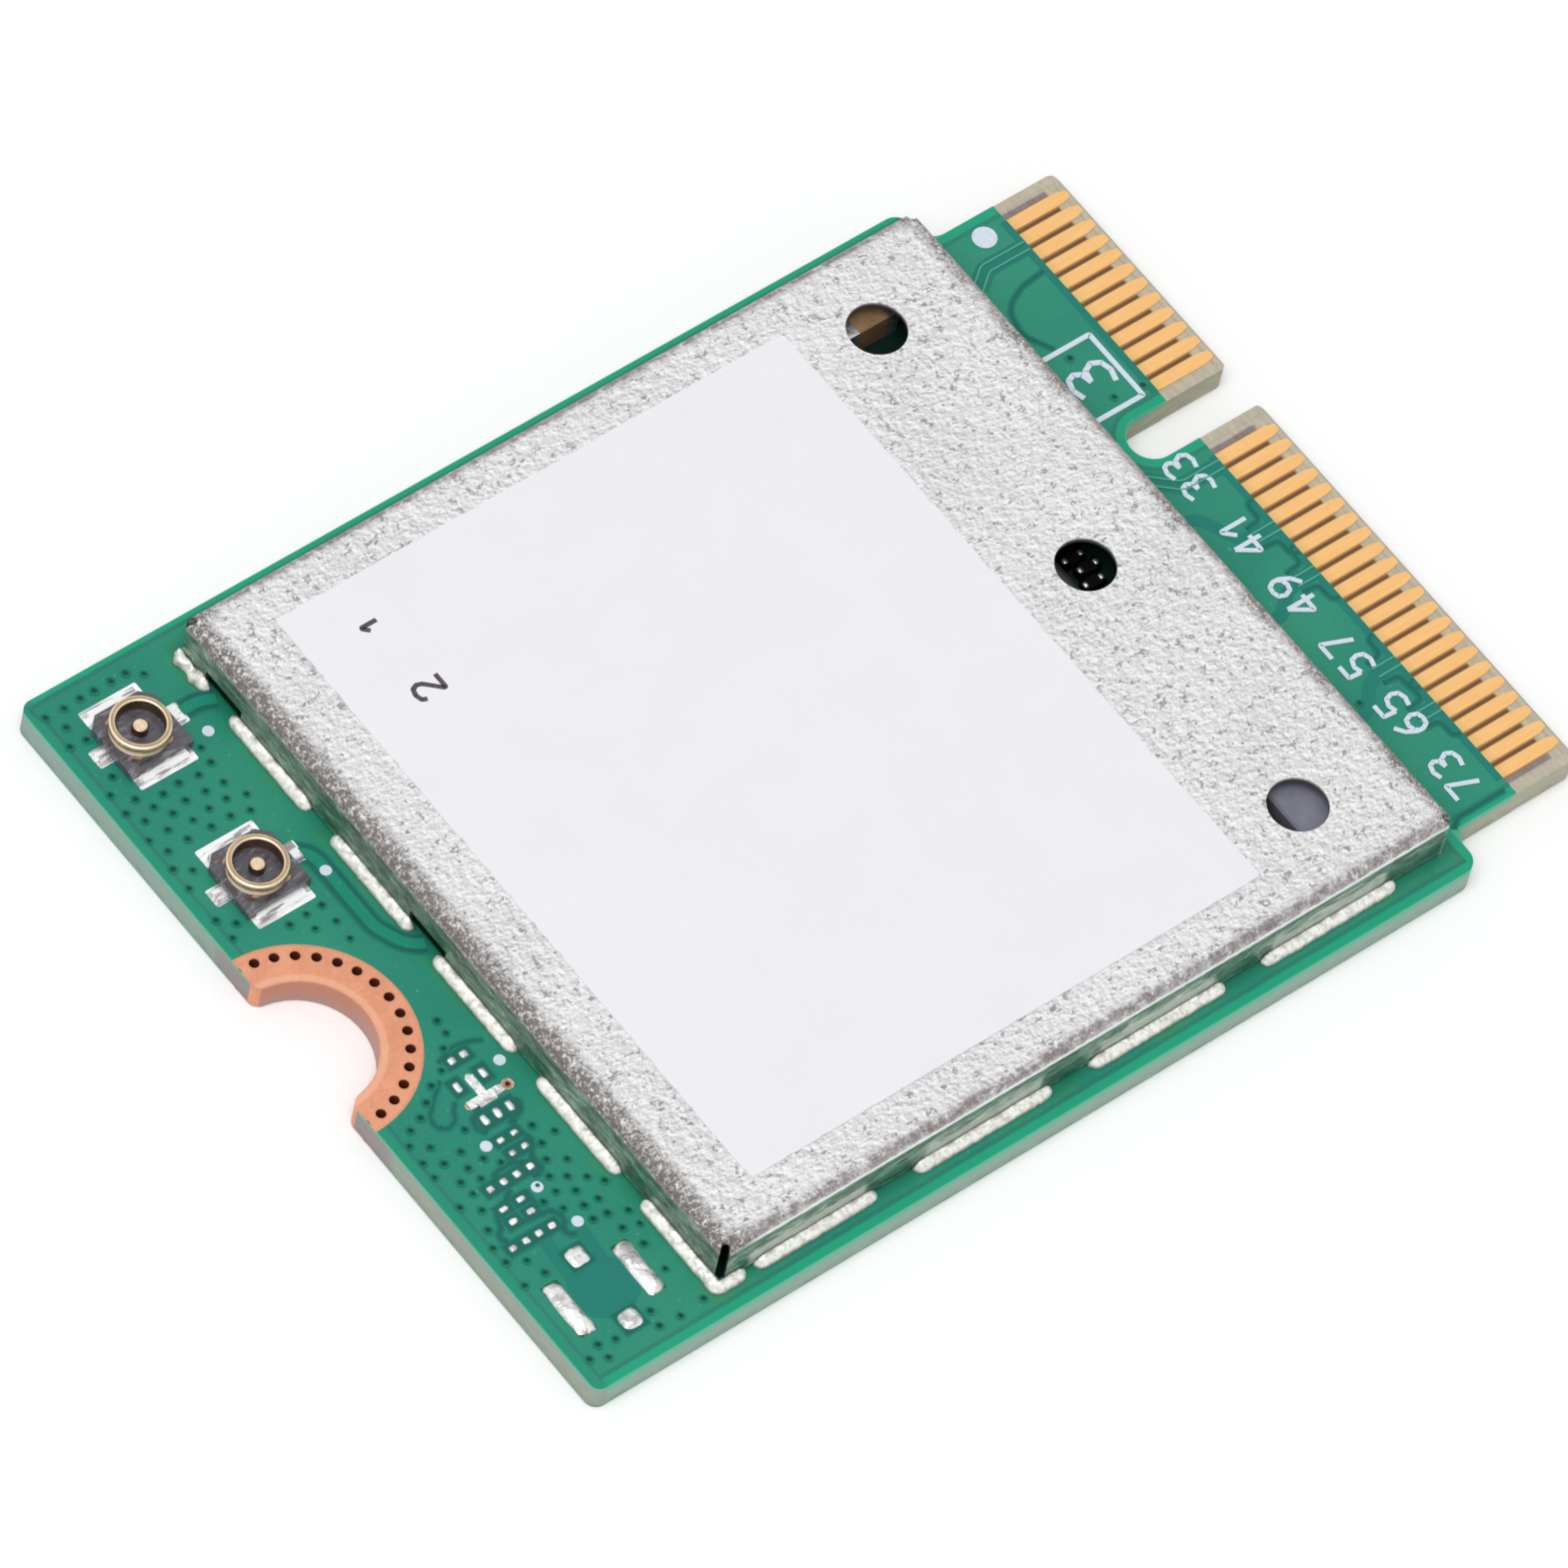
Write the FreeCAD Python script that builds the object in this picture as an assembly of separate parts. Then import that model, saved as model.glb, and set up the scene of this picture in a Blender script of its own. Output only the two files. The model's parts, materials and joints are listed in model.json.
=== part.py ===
import FreeCAD, Part
import math
import os

# A laptop wireless card of the 22 x 30 mm edge-card size, in millimetres.
# X runs along the card towards the contact tongue, Y across it towards contact 1,
# and Z up from the underside. The origin is the centre of the underside.

Vec = FreeCAD.Vector

# Board
card_length = 30.0
card_width = 22.0
board_thickness = 0.80
coat_thickness = 0.03
board_corner_radius = 0.32

# Contact tongue
tongue_length = 3.88
shoulder_outer_radius = 0.45
shoulder_inner_radius = 0.50
tongue_corner_radius = 0.28
tongue_tip_bevel = 0.10
tongue_bare_length = 1.90
tongue_side_margin = 0.675

# Contacts
contact_pitch = 0.50
contact_width = 0.35
contact_bevel_gap = 0.02
contact_tip_width = 0.20
contact_taper_length = 0.30
contact_count = 75
contact_axis_number = 38
first_key_contact = 24
last_key_contact = 31

# Key slot
key_width = 1.25
key_depth = 3.48
key_mouth_radius = 0.22

# Screw notch with its plated land
notch_radius = 1.75
notch_mouth_radius = 0.30
screw_land_width = 1.00
plating_thickness = 0.04
land_via_diameter = 0.25
land_via_count = 15
land_via_arc = 162.0
land_via_inset = 0.31

# Shield can, folded from one sheet
shield_height = 1.40
shield_sheet = 0.15
shield_bend_radius = 0.30
shield_side_gap = 0.75
shield_antenna_end_gap = 4.03
shield_shoulder_gap = 0.45
shield_hole_diameter = 1.50
shield_hole_side_inset = 2.30
shield_hole_end_inset = 2.92
corner_slit_width = 0.22
corner_slit_reach = 0.24

# Gaps under the shield's walls, counted along each wall
wall_lift = 0.08
signal_door_height = 0.48
end_gap_first = 1.05
end_gap_length = 1.36
end_gap_last = 2.45
end_gap_count = 5
signal_doors = (0, 2)
side_gap_first = 4.32
side_gap_length = 1.60
side_gap_last = 0.27
side_gap_count = 4
corner_solder_length = 0.52
corner_gap_length = 0.75

# Solder beads along the feet
solder_width = 0.26
solder_height = 0.24
solder_bulge = 0.04
solder_crest = 0.03

# Label
label_thickness = 0.06
label_corner_radius = 0.15
label_end_inset = 1.70
label_side_inset = 1.23
label_hole_gap = 1.25

# Antenna receptacles
receptacle_end_gap = 1.85
receptacle_edge_gap = 2.17
receptacle_notch_gap = 4.32
receptacle_height = 0.62
housing_size = 1.80
housing_height = 0.26
housing_chamfer = 0.28
barrel_lip_radius = 0.75
barrel_waist_depth = 0.060
barrel_wall = 0.16
barrel_lip_height = 0.16
barrel_flange_height = 0.09
barrel_flange_taper = 0.025
barrel_rim_round = 0.05
pin_radius = 0.20
pin_top_drop = 0.12
pin_round = 0.05
tail_width = 0.28
tail_thickness = 0.08
tail_reach = 1.18
leg_thickness = 0.10
leg_bend_inset = 0.10
long_leg_width = 1.32
long_leg_reach = 1.13
short_leg_width = 0.52
short_leg_reach = 1.20

# Solder lands under each receptacle, measured from its axis
land_rise = 0.02
land_corner_radius = 0.05
signal_land_edge = 1.27
signal_land_length = 0.44
signal_land_width = 0.52
ground_land_edge = 1.25
ground_land_length = 1.65
ground_land_width = 0.52
short_land_edge = 1.29
short_land_length = 0.36
short_land_width = 0.60

# Unfitted footprints beside the shield
pad_column_gap = 2.27
pad_corner_radius = 0.09
tee_strip_width = 0.19
tee_strip_length = 1.14
tee_arm_width = 0.16
tee_arm_share = 0.094
tee_row_share = 0.440
via_ring_radius = 0.15
via_ring_hole_radius = 0.065
filter_land_length = 1.55
filter_land_width = 0.48
filter_land_spacing = 2.00
filter_end_land_size = 0.50
filter_end_land_spacing = 1.97
filter_end_gap = 1.82
filter_edge_gap = 2.12

# Test lands on the underside
test_land_radius = 0.40
test_land_pitch = 1.60
test_land_columns = 6
test_land_rows = 2

# Parts under the shield
radio_share_of_room = 0.403
radio_height = 0.85
radio_chamfer = 0.20
radio_inset = 2.90
front_end_length = 3.60
front_end_width = 3.00
front_end_height = 0.80
front_end_gaps = (1, 3)
power_chip_size = 2.60
power_chip_height = 0.90
power_chip_hole_overlap = 0.16
memory_length = 3.00
memory_width = 2.00
memory_height = 0.60
memory_share_along = 0.394
memory_wall_inset = 2.40
crystal_length = 3.20
crystal_width = 2.50
crystal_base_height = 0.45
crystal_lid_height = 0.20
crystal_lid_margin = 0.20
crystal_share_along = 0.605
crystal_wall_inset = 2.60
inductor_length = 2.00
inductor_width = 1.60
inductor_height = 1.00
inductor_chamfer = 0.18
inductor_count = 3
inductor_pitch = 2.40
inductor_inset = 4.60
inductor_wall_inset = 2.40
filter_length = 2.00
filter_width = 1.25
filter_height = 0.75
filter_inset = 1.70
switch_length = 1.50
switch_width = 1.10
switch_height = 0.55
switch_filter_gap = 0.40
package_chamfer = 0.06

# Chip capacitors and resistors under the shield
terminal_length_ratio = 0.22
large_passive_length = 1.60
large_passive_width = 0.80
small_passive_length = 0.60
small_passive_width = 0.30
small_passive_pitch = 0.40
hole_bank_count = 9
radio_bank_count = 9
radio_bank_pitch = 0.75
radio_bank_gap = 0.30
resistor_length = 1.00
resistor_width = 0.50
resistor_height = 0.35
resistor_count = 6
resistor_pitch = 0.80
resistor_inset = 1.20
resistor_wall_inset = 1.30
hole_capacitor_lead = 0.45
hole_capacitor_offset = 0.39

# Places worked out from the sizes above
end_x = card_length / 2
edge_y = card_width / 2
board_top = board_thickness
bare_top = board_thickness - coat_thickness
bare_bottom = coat_thickness
shoulder_x = end_x - tongue_length
tongue_half = (contact_axis_number - 1) * contact_pitch / 2 + tongue_side_margin
bare_start_x = end_x - tongue_bare_length
contact_end_x = end_x - tongue_tip_bevel - contact_bevel_gap
key_y = (contact_axis_number - (first_key_contact + last_key_contact) / 2) * contact_pitch / 2
screw_land_radius = notch_radius + screw_land_width
shield_x0 = -end_x + shield_antenna_end_gap
shield_x1 = shoulder_x - shield_shoulder_gap
shield_y = edge_y - shield_side_gap
shield_top = board_top + shield_height
room_x0 = shield_x0 + shield_sheet
room_x1 = shield_x1 - shield_sheet
room_y = shield_y - shield_sheet
room_length = room_x1 - room_x0
hole_x = shield_x1 - shield_hole_end_inset
hole_y = shield_y - shield_hole_side_inset
radio_size = radio_share_of_room * room_length
radio_x = room_x1 - radio_inset - radio_size / 2
capacitor_bank_x = radio_x - radio_size / 2 - radio_bank_gap - small_passive_length / 2
receptacle_x = -end_x + receptacle_end_gap
receptacle_ys = (edge_y - receptacle_edge_gap, receptacle_notch_gap)
land_top = board_top + land_rise
filter_x = -end_x + filter_end_gap
filter_y = -edge_y + filter_edge_gap
pad_span = -filter_y - filter_end_land_spacing / 2 - filter_end_land_size / 2
past = 1.0
headings = ((1, 0), (0, 1), (-1, 0), (0, -1))


def block(x0, x1, y0, y1, z0, z1):
    """A box between two corners."""
    return Part.makeBox(x1 - x0, y1 - y0, z1 - z0, Vec(x0, y0, z0))


def disc(radius, x, y, z0, z1):
    """An upright cylinder."""
    return Part.makeCylinder(radius, z1 - z0, Vec(x, y, z0))


def group(shapes):
    """Separate solids of one node."""
    solids = []
    for shape in shapes:
        solids.extend(shape.Solids)
    return Part.makeCompound(solids)


def rounded_prism(corners, z0, z1):
    """A prism on an outline of (x, y, radius) corners, each rounded by a tangent arc."""
    entries = []
    exits = []
    middles = []
    count = len(corners)
    for i in range(count):
        x, y, radius = corners[i]
        here = Vec(x, y, z0)
        before = Vec(corners[i - 1][0], corners[i - 1][1], z0) - here
        after = Vec(corners[(i + 1) % count][0], corners[(i + 1) % count][1], z0) - here
        before.normalize()
        after.normalize()
        half_angle = before.getAngle(after) / 2
        run = radius / math.tan(half_angle)
        bisector = before + after
        bisector.normalize()
        centre = here + bisector * (radius / math.sin(half_angle))
        entries.append(here + before * run)
        exits.append(here + after * run)
        middles.append(centre - bisector * radius)
    edges = []
    for i in range(count):
        if corners[i][2] > 0:
            edges.append(Part.Arc(entries[i], middles[i], exits[i]).toShape())
        following = entries[(i + 1) % count]
        if exits[i].distanceToPoint(following) > 1e-6:
            edges.append(Part.LineSegment(exits[i], following).toShape())
    return Part.Face(Part.Wire(edges)).extrude(Vec(0, 0, z1 - z0))


def rounded_block(x, y, size_x, size_y, radius, z0, z1):
    """A block centred on a point, with rounded upright edges."""
    a = size_x / 2
    b = size_y / 2
    r = min(radius, 0.45 * min(size_x, size_y))
    corners = [(x - a, y - b, r), (x + a, y - b, r), (x + a, y + b, r), (x - a, y + b, r)]
    return rounded_prism(corners, z0, z1)


def top_edges(shape, z):
    """The edges of a shape that lie wholly at one height."""
    chosen = []
    for edge in shape.Edges:
        box = edge.BoundBox
        if abs(box.ZMin - z) < 1e-4 and abs(box.ZMax - z) < 1e-4:
            chosen.append(edge)
    return chosen


def package(x, y, size_x, size_y, height, chamfer):
    """A sealed component body standing on the board, with chamfered top edges."""
    body = block(x - size_x / 2, x + size_x / 2, y - size_y / 2, y + size_y / 2,
                 board_top, board_top + height)
    return body.makeChamfer(chamfer, top_edges(body, board_top + height))


def card_outline(z0, z1):
    """The card's plan: wide body, shoulders, and a tongue that the key slot divides."""
    step = abs(edge_y - tongue_half)
    outer = min(shoulder_outer_radius, 0.45 * step)
    inner = min(shoulder_inner_radius, 0.45 * step)
    key_low = key_y - key_width / 2
    key_high = key_y + key_width / 2
    key_end_x = end_x - key_depth
    corners = [
        (-end_x, -edge_y, board_corner_radius),
        (shoulder_x, -edge_y, outer),
        (shoulder_x, -tongue_half, inner),
        (end_x, -tongue_half, tongue_corner_radius),
        (end_x, key_low, key_mouth_radius),
        (key_end_x, key_low, key_width / 2),
        (key_end_x, key_high, key_width / 2),
        (end_x, key_high, key_mouth_radius),
        (end_x, tongue_half, tongue_corner_radius),
        (shoulder_x, tongue_half, inner),
        (shoulder_x, edge_y, outer),
        (-end_x, edge_y, board_corner_radius),
    ]
    return rounded_prism(corners, z0, z1)


def mirrored(point):
    """A point's mirror image across the card's long axis."""
    return Vec(point.x, -point.y, point.z)


def notch_tool(allowance):
    """The half-round screw notch and its rounded mouth, larger by an allowance for plating."""
    radius = notch_radius + allowance
    mouth = notch_mouth_radius - allowance
    mouth_x = -end_x + notch_mouth_radius
    mouth_y = math.sqrt((notch_radius + notch_mouth_radius) ** 2 - notch_mouth_radius ** 2)
    turn = math.atan2(mouth_y, notch_mouth_radius)
    middle = math.pi + turn / 2
    far = Vec(-end_x - past, mouth_y, -past)
    lip = Vec(mouth_x - mouth, mouth_y, -past)
    bend = Vec(mouth_x + mouth * math.cos(middle), mouth_y + mouth * math.sin(middle), -past)
    touch = Vec(-end_x + radius * math.cos(turn), radius * math.sin(turn), -past)
    floor = Vec(-end_x + radius, 0, -past)
    edges = [
        Part.LineSegment(far, lip).toShape(),
        Part.Arc(lip, bend, touch).toShape(),
        Part.Arc(touch, floor, mirrored(touch)).toShape(),
        Part.Arc(mirrored(touch), mirrored(bend), mirrored(lip)).toShape(),
        Part.LineSegment(mirrored(lip), mirrored(far)).toShape(),
        Part.LineSegment(mirrored(far), far).toShape(),
    ]
    return Part.Face(Part.Wire(edges)).extrude(Vec(0, 0, board_thickness + 2 * past))


def land_vias():
    """The open plated holes round the screw land."""
    ring = screw_land_radius - land_via_inset
    holes = []
    for i in range(land_via_count):
        angle = math.radians(land_via_arc * (i / (land_via_count - 1) - 0.5))
        x = -end_x + ring * math.cos(angle)
        y = ring * math.sin(angle)
        holes.append(disc(land_via_diameter / 2, x, y, -past, board_top + past))
    return group(holes)


def make_screw_land():
    """Copper land on both faces, joined by the plated wall of the notch."""
    blank = disc(screw_land_radius, -end_x, 0, 0, board_top).common(card_outline(0, board_top))
    laminate = disc(screw_land_radius + past, -end_x, 0, bare_bottom, bare_top)
    laminate = laminate.cut(notch_tool(plating_thickness))
    return blank.cut(notch_tool(0)).cut(land_vias()).cut(laminate)


def contact_y(number):
    """Where a contact lies across the card. Odd ones are on top and even ones below."""
    return (contact_axis_number - number) * contact_pitch / 2


def make_contacts(first_number, z0, z1):
    """One face's row of plated contacts, with bullet-shaped tips and none at the key."""
    half = contact_width / 2
    tip = contact_tip_width / 2
    taper_x = contact_end_x - contact_taper_length
    tip_round = 0.3 * contact_tip_width
    contacts = []
    for number in range(first_number, contact_count + 1, 2):
        if first_key_contact <= number <= last_key_contact:
            continue
        y = contact_y(number)
        corners = [
            (bare_start_x, y - half, 0),
            (taper_x, y - half, half),
            (contact_end_x, y - tip, tip_round),
            (contact_end_x, y + tip, tip_round),
            (taper_x, y + half, half),
            (bare_start_x, y + half, 0),
        ]
        contacts.append(rounded_prism(corners, z0, z1))
    return group(contacts)


def make_receptacle_lands():
    """Solder lands under the two receptacles: signal, two long grounds and a short ground."""
    pads = []
    for y in receptacle_ys:
        signal_x = receptacle_x - signal_land_edge + signal_land_length / 2
        short_x = receptacle_x + short_land_edge - short_land_length / 2
        ground_shift = ground_land_edge - ground_land_width / 2
        pads.append(rounded_block(signal_x, y, signal_land_length, signal_land_width,
                                  land_corner_radius, bare_top, land_top))
        pads.append(rounded_block(short_x, y, short_land_length, short_land_width,
                                  land_corner_radius, bare_top, land_top))
        for side in (-1, 1):
            pads.append(rounded_block(receptacle_x, y + side * ground_shift, ground_land_length,
                                      ground_land_width, land_corner_radius, bare_top, land_top))
    return group(pads)


def make_bare_lands():
    """Tinned lands of the parts that are not fitted: small rows, a tee and a filter footprint."""
    column = -end_x + pad_column_gap
    # Each row: share of the way to the filter, first pad from the column, pads, pitch, size X, size Y
    rows = [
        (0.284, 0.33, 2, 0.34, 0.27, 0.26),
        (0.367, 0.00, 2, 0.74, 0.24, 0.38),
        (0.503, 0.00, 3, 0.36, 0.24, 0.38),
        (0.586, -0.03, 2, 0.39, 0.26, 0.20),
        (0.640, 0.00, 2, 0.35, 0.25, 0.22),
        (0.706, -1.02, 4, 0.38, 0.26, 0.24),
        (0.782, -1.09, 2, 0.49, 0.31, 0.20),
        (0.832, -1.10, 2, 0.50, 0.30, 0.22),
        (0.906, -1.54, 4, 0.37, 0.26, 0.23),
    ]
    pads = []
    for share, first, count, pitch, size_x, size_y in rows:
        for i in range(count):
            x = column + first + i * pitch
            pads.append(rounded_block(x, -share * pad_span, size_x, size_y,
                                      pad_corner_radius, bare_top, land_top))
    pads.append(tee_land(column))
    for side in (-1, 1):
        pads.append(rounded_block(filter_x + side * filter_land_spacing / 2, filter_y,
                                  filter_land_width, filter_land_length,
                                  land_corner_radius, bare_top, land_top))
        pads.append(rounded_block(filter_x, filter_y + side * filter_end_land_spacing / 2,
                                  filter_end_land_size, filter_end_land_size,
                                  land_corner_radius, bare_top, land_top))
    return group(pads)


def tee_land(column):
    """A tinned strip with one arm, ending in a ringed hole."""
    left = column - tee_strip_width
    right = left + tee_strip_length
    y = -tee_row_share * pad_span
    arm_length = tee_arm_share * pad_span
    strip = rounded_block((left + right) / 2, y, tee_strip_length, tee_strip_width,
                          tee_strip_width / 2, bare_top, land_top)
    arm = rounded_block(column + 2 * tee_strip_width, y + arm_length / 2, tee_arm_width, arm_length,
                        tee_arm_width / 2, bare_top, land_top)
    ring = disc(via_ring_radius, right + via_ring_radius / 2, y, bare_top, land_top)
    hole = disc(via_ring_hole_radius, right + via_ring_radius / 2, y, bare_top, land_top)
    return strip.fuse(arm).fuse(ring).removeSplitter().cut(hole)


def make_test_lands():
    """A small field of round test lands in the underside's coat."""
    centre_x = (shield_x0 + shield_x1) / 2
    pads = []
    for row in range(test_land_rows):
        for column in range(test_land_columns):
            x = centre_x + (column - (test_land_columns - 1) / 2) * test_land_pitch
            y = (row - (test_land_rows - 1) / 2) * test_land_pitch
            pads.append(disc(test_land_radius, x, y, 0, bare_bottom))
    return group(pads)


def tip_bevel(level, direction):
    """A wedge that bevels one long edge of the tongue's tip."""
    reach = tongue_tip_bevel
    corners = [
        Vec(end_x - reach, -edge_y - past, level),
        Vec(end_x + past, -edge_y - past, level),
        Vec(end_x + past, -edge_y - past, level - direction * (reach + past)),
    ]
    wire = Part.makePolygon(corners + corners[:1])
    return Part.Face(wire).extrude(Vec(0, card_width + 2 * past, 0))


def make_board(inlays):
    """The coated laminate, bare on its tongue and recessed round every exposed land."""
    board = card_outline(0, board_top)
    wide = edge_y + past
    board = board.cut(block(bare_start_x, end_x + past, -wide, wide, bare_top, board_top + past))
    board = board.cut(block(bare_start_x, end_x + past, -wide, wide, -past, bare_bottom))
    board = board.cut(tip_bevel(bare_top, 1)).cut(tip_bevel(bare_bottom, -1))
    board = board.cut(notch_tool(plating_thickness)).cut(land_vias())
    return board.cut(inlays)


def gap_spans(first, length, last, count, wall_length):
    """Evenly spaced gaps under a wall: where each starts and ends, from the wall's first corner."""
    pitch = (wall_length - first - last - length) / (count - 1)
    return [(first + i * pitch, first + i * pitch + length) for i in range(count)]


def foot_spans(gaps, wall_length):
    """The stretches of wall between the gaps, which stand on the board."""
    edges = [0.0]
    for start, end in gaps:
        edges.extend([start, end])
    edges.append(wall_length)
    return [(a, b) for a, b in zip(edges[0::2], edges[1::2]) if b - a > 2 * solder_width]


def side_gaps():
    """Gaps under a long wall, counted from the receptacle end."""
    corner_gap = (corner_solder_length, corner_solder_length + corner_gap_length)
    return [corner_gap] + gap_spans(side_gap_first, side_gap_length, side_gap_last,
                                    side_gap_count, shield_x1 - shield_x0)


def end_gaps():
    """Gaps under an end wall, counted from the side of contact 1."""
    return gap_spans(end_gap_first, end_gap_length, end_gap_last, end_gap_count, 2 * shield_y)


def end_gap_centre(index):
    """How far across the card a gap of the end walls lies."""
    start, end = end_gaps()[index]
    return shield_y - (start + end) / 2


def slit_tool(corner_x, corner_y):
    """A round-ended cut through one corner of the can, along the corner's diagonal."""
    inward = math.degrees(math.atan2(-corner_y, -corner_x))
    inward = 45 * round((inward - 45) / 90) * 2 + 45
    reach = corner_slit_reach * math.sqrt(2) - corner_slit_width / 2
    z0 = board_top - past
    z1 = shield_top + past
    cut = block(-past, reach, -corner_slit_width / 2, corner_slit_width / 2, z0, z1)
    cut = cut.fuse(disc(corner_slit_width / 2, reach, 0, z0, z1))
    cut.rotate(Vec(0, 0, 0), Vec(0, 0, 1), inward)
    cut.translate(Vec(corner_x, corner_y, 0))
    return cut


def make_shield():
    """A can folded from one sheet, slit at its corners, with feet, signal doors and three holes."""
    outer = block(shield_x0, shield_x1, -shield_y, shield_y, board_top, shield_top)
    outer = outer.makeFillet(shield_bend_radius, top_edges(outer, shield_top))
    inside_top = shield_top - shield_sheet
    inner = block(room_x0, room_x1, -room_y, room_y, board_top - past, inside_top)
    inner_radius = max(shield_bend_radius - shield_sheet, 0.02)
    inner = inner.makeFillet(inner_radius, top_edges(inner, inside_top))
    can = outer.cut(inner)
    tools = []
    for x in (shield_x0, shield_x1):
        for y in (-shield_y, shield_y):
            tools.append(slit_tool(x, y))
    for i in (-1, 0, 1):
        tools.append(disc(shield_hole_diameter / 2, hole_x, i * hole_y,
                          inside_top - past / 2, shield_top + past))
    lifted = board_top + wall_lift
    for start, end in side_gaps():
        a = shield_x0 + start
        b = min(shield_x0 + end, shield_x1 - corner_slit_width)
        for side in (-1, 1):
            y0 = min(side * (room_y - past), side * (shield_y + past))
            tools.append(block(a, b, y0, y0 + shield_sheet + 2 * past, board_top - past, lifted))
    for index, (start, end) in enumerate(end_gaps()):
        door = board_top + signal_door_height if index in signal_doors else lifted
        y0 = shield_y - end
        y1 = shield_y - start
        tools.append(block(shield_x0 - past, room_x0 + past, y0, y1, board_top - past, door))
        tools.append(block(room_x1 - past, shield_x1 + past, y0, y1, board_top - past, lifted))
    for tool in tools:
        can = can.cut(tool)
    return can


def bead_section(point, heading):
    """The cross-section of a solder bead against a wall, facing one of the four headings."""
    across, along = headings[heading % 4]
    direction = Vec(across, along, 0)
    root = Vec(point[0], point[1], board_top)
    toe = root + direction * solder_width
    brow = root + direction * solder_crest + Vec(0, 0, solder_height)
    crest = root + Vec(0, 0, solder_height)
    swell = root + direction * (solder_width / 2 + solder_bulge)
    swell = swell + Vec(0, 0, solder_height / 2 + solder_bulge)
    edges = [
        Part.LineSegment(root, toe).toShape(),
        Part.Arc(toe, swell, brow).toShape(),
        Part.LineSegment(brow, crest).toShape(),
        Part.LineSegment(crest, root).toShape(),
    ]
    return Part.Face(Part.Wire(edges))


def bead_run(start, end, heading):
    """A straight stretch of bead."""
    return bead_section(start, heading).extrude(Vec(end[0] - start[0], end[1] - start[1], 0))


def bead_turn(point, heading):
    """A quarter turn of bead about a point on the wall, anticlockwise from a heading."""
    return bead_section(point, heading).revolve(Vec(point[0], point[1], 0), Vec(0, 0, 1), 90)


def straight_bead(start, end, heading):
    """A bead along one foot, rounded at both ends. It runs anticlockwise round the can."""
    bead = bead_run(start, end, heading)
    bead = bead.fuse(bead_turn(start, heading - 1)).fuse(bead_turn(end, heading))
    return bead.removeSplitter()


def corner_bead(start, corner, end, heading):
    """A bead along a foot, round a corner of the can and along the next wall."""
    bead = bead_run(start, corner, heading).fuse(bead_turn(corner, heading))
    bead = bead.fuse(bead_run(corner, end, heading + 1))
    bead = bead.fuse(bead_turn(start, heading - 1)).fuse(bead_turn(end, heading + 1))
    return bead.removeSplitter()


def make_shield_solder():
    """Solder beads where the shield's feet meet the board, one of them round a corner."""
    ends = foot_spans(end_gaps(), 2 * shield_y)
    sides = foot_spans(side_gaps(), shield_x1 - shield_x0)
    beads = []
    for a, b in ends[:-1]:
        clear = corner_slit_width if a == 0 else 0
        beads.append(straight_bead((shield_x0, shield_y - a - clear), (shield_x0, shield_y - b), 2))
    for a, b in ends[1:-1]:
        beads.append(straight_bead((shield_x1, shield_y - b), (shield_x1, shield_y - a), 0))
    for a, b in sides:
        inside = b if b < shield_x1 - shield_x0 else b - corner_slit_width
        beads.append(straight_bead((shield_x0 + a, -shield_y), (shield_x0 + inside, -shield_y), 3))
        beads.append(straight_bead((shield_x0 + inside, shield_y), (shield_x0 + a, shield_y), 1))
    last = ends[-1][0]
    beads.append(corner_bead((shield_x0, shield_y - last), (shield_x0, -shield_y),
                             (shield_x0 + corner_solder_length, -shield_y), 2))
    return group(beads)


def make_label():
    """A blank paper label on the shield, short of the holes."""
    x0 = shield_x0 + label_end_inset
    x1 = hole_x - shield_hole_diameter / 2 - label_hole_gap
    return rounded_block((x0 + x1) / 2, 0, x1 - x0, 2 * (shield_y - label_side_inset),
                         label_corner_radius, shield_top, shield_top + label_thickness)


def receptacle_shell(x, y):
    """The plated outer contact: a turned-looking barrel on a flange, with three soldered legs."""
    lip = barrel_lip_radius
    waist = lip - barrel_waist_depth
    bore = lip - barrel_wall
    top = board_top + receptacle_height
    flange_top = board_top + housing_height
    flange_low = flange_top - barrel_flange_height
    lip_low = top - barrel_lip_height
    neck_ends = (Vec(lip - barrel_flange_taper, 0, flange_top), Vec(lip, 0, lip_low))
    neck = Part.Arc(neck_ends[0], Vec(waist, 0, (flange_top + lip_low) / 2), neck_ends[1]).toShape()
    below = Part.makePolygon([Vec(bore, 0, flange_low), Vec(lip, 0, flange_low), neck_ends[0]])
    above = Part.makePolygon([neck_ends[1], Vec(lip, 0, top), Vec(bore, 0, top), Vec(bore, 0, flange_low)])
    face = Part.Face(Part.Wire(below.Edges + [neck] + above.Edges))
    shell = face.revolve(Vec(0, 0, 0), Vec(0, 0, 1), 360)
    shell = Part.Solid(shell) if shell.ShapeType == "Shell" else shell
    shell = shell.makeFillet(barrel_rim_round, top_edges(shell, top))
    inset = lip - leg_bend_inset
    foot_top = land_top + leg_thickness
    half = long_leg_width / 2
    legs = []
    for side in (-1, 1):
        near = side * inset
        legs.append(block(-half, half, min(near, near - side * leg_thickness),
                          max(near, near - side * leg_thickness), land_top, flange_top))
        far = side * long_leg_reach
        legs.append(block(-half, half, min(near - side * leg_thickness, far),
                          max(near - side * leg_thickness, far), land_top, foot_top))
    half = short_leg_width / 2
    legs.append(block(inset - leg_thickness, inset, -half, half, land_top, flange_top))
    legs.append(block(inset - leg_thickness, short_leg_reach, -half, half, land_top, foot_top))
    keep_bore = disc(bore, 0, 0, land_top - past, top + past)
    for leg in legs:
        shell = shell.fuse(leg.cut(keep_bore))
    shell = shell.removeSplitter()
    shell.translate(Vec(x, y, 0))
    return shell


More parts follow.
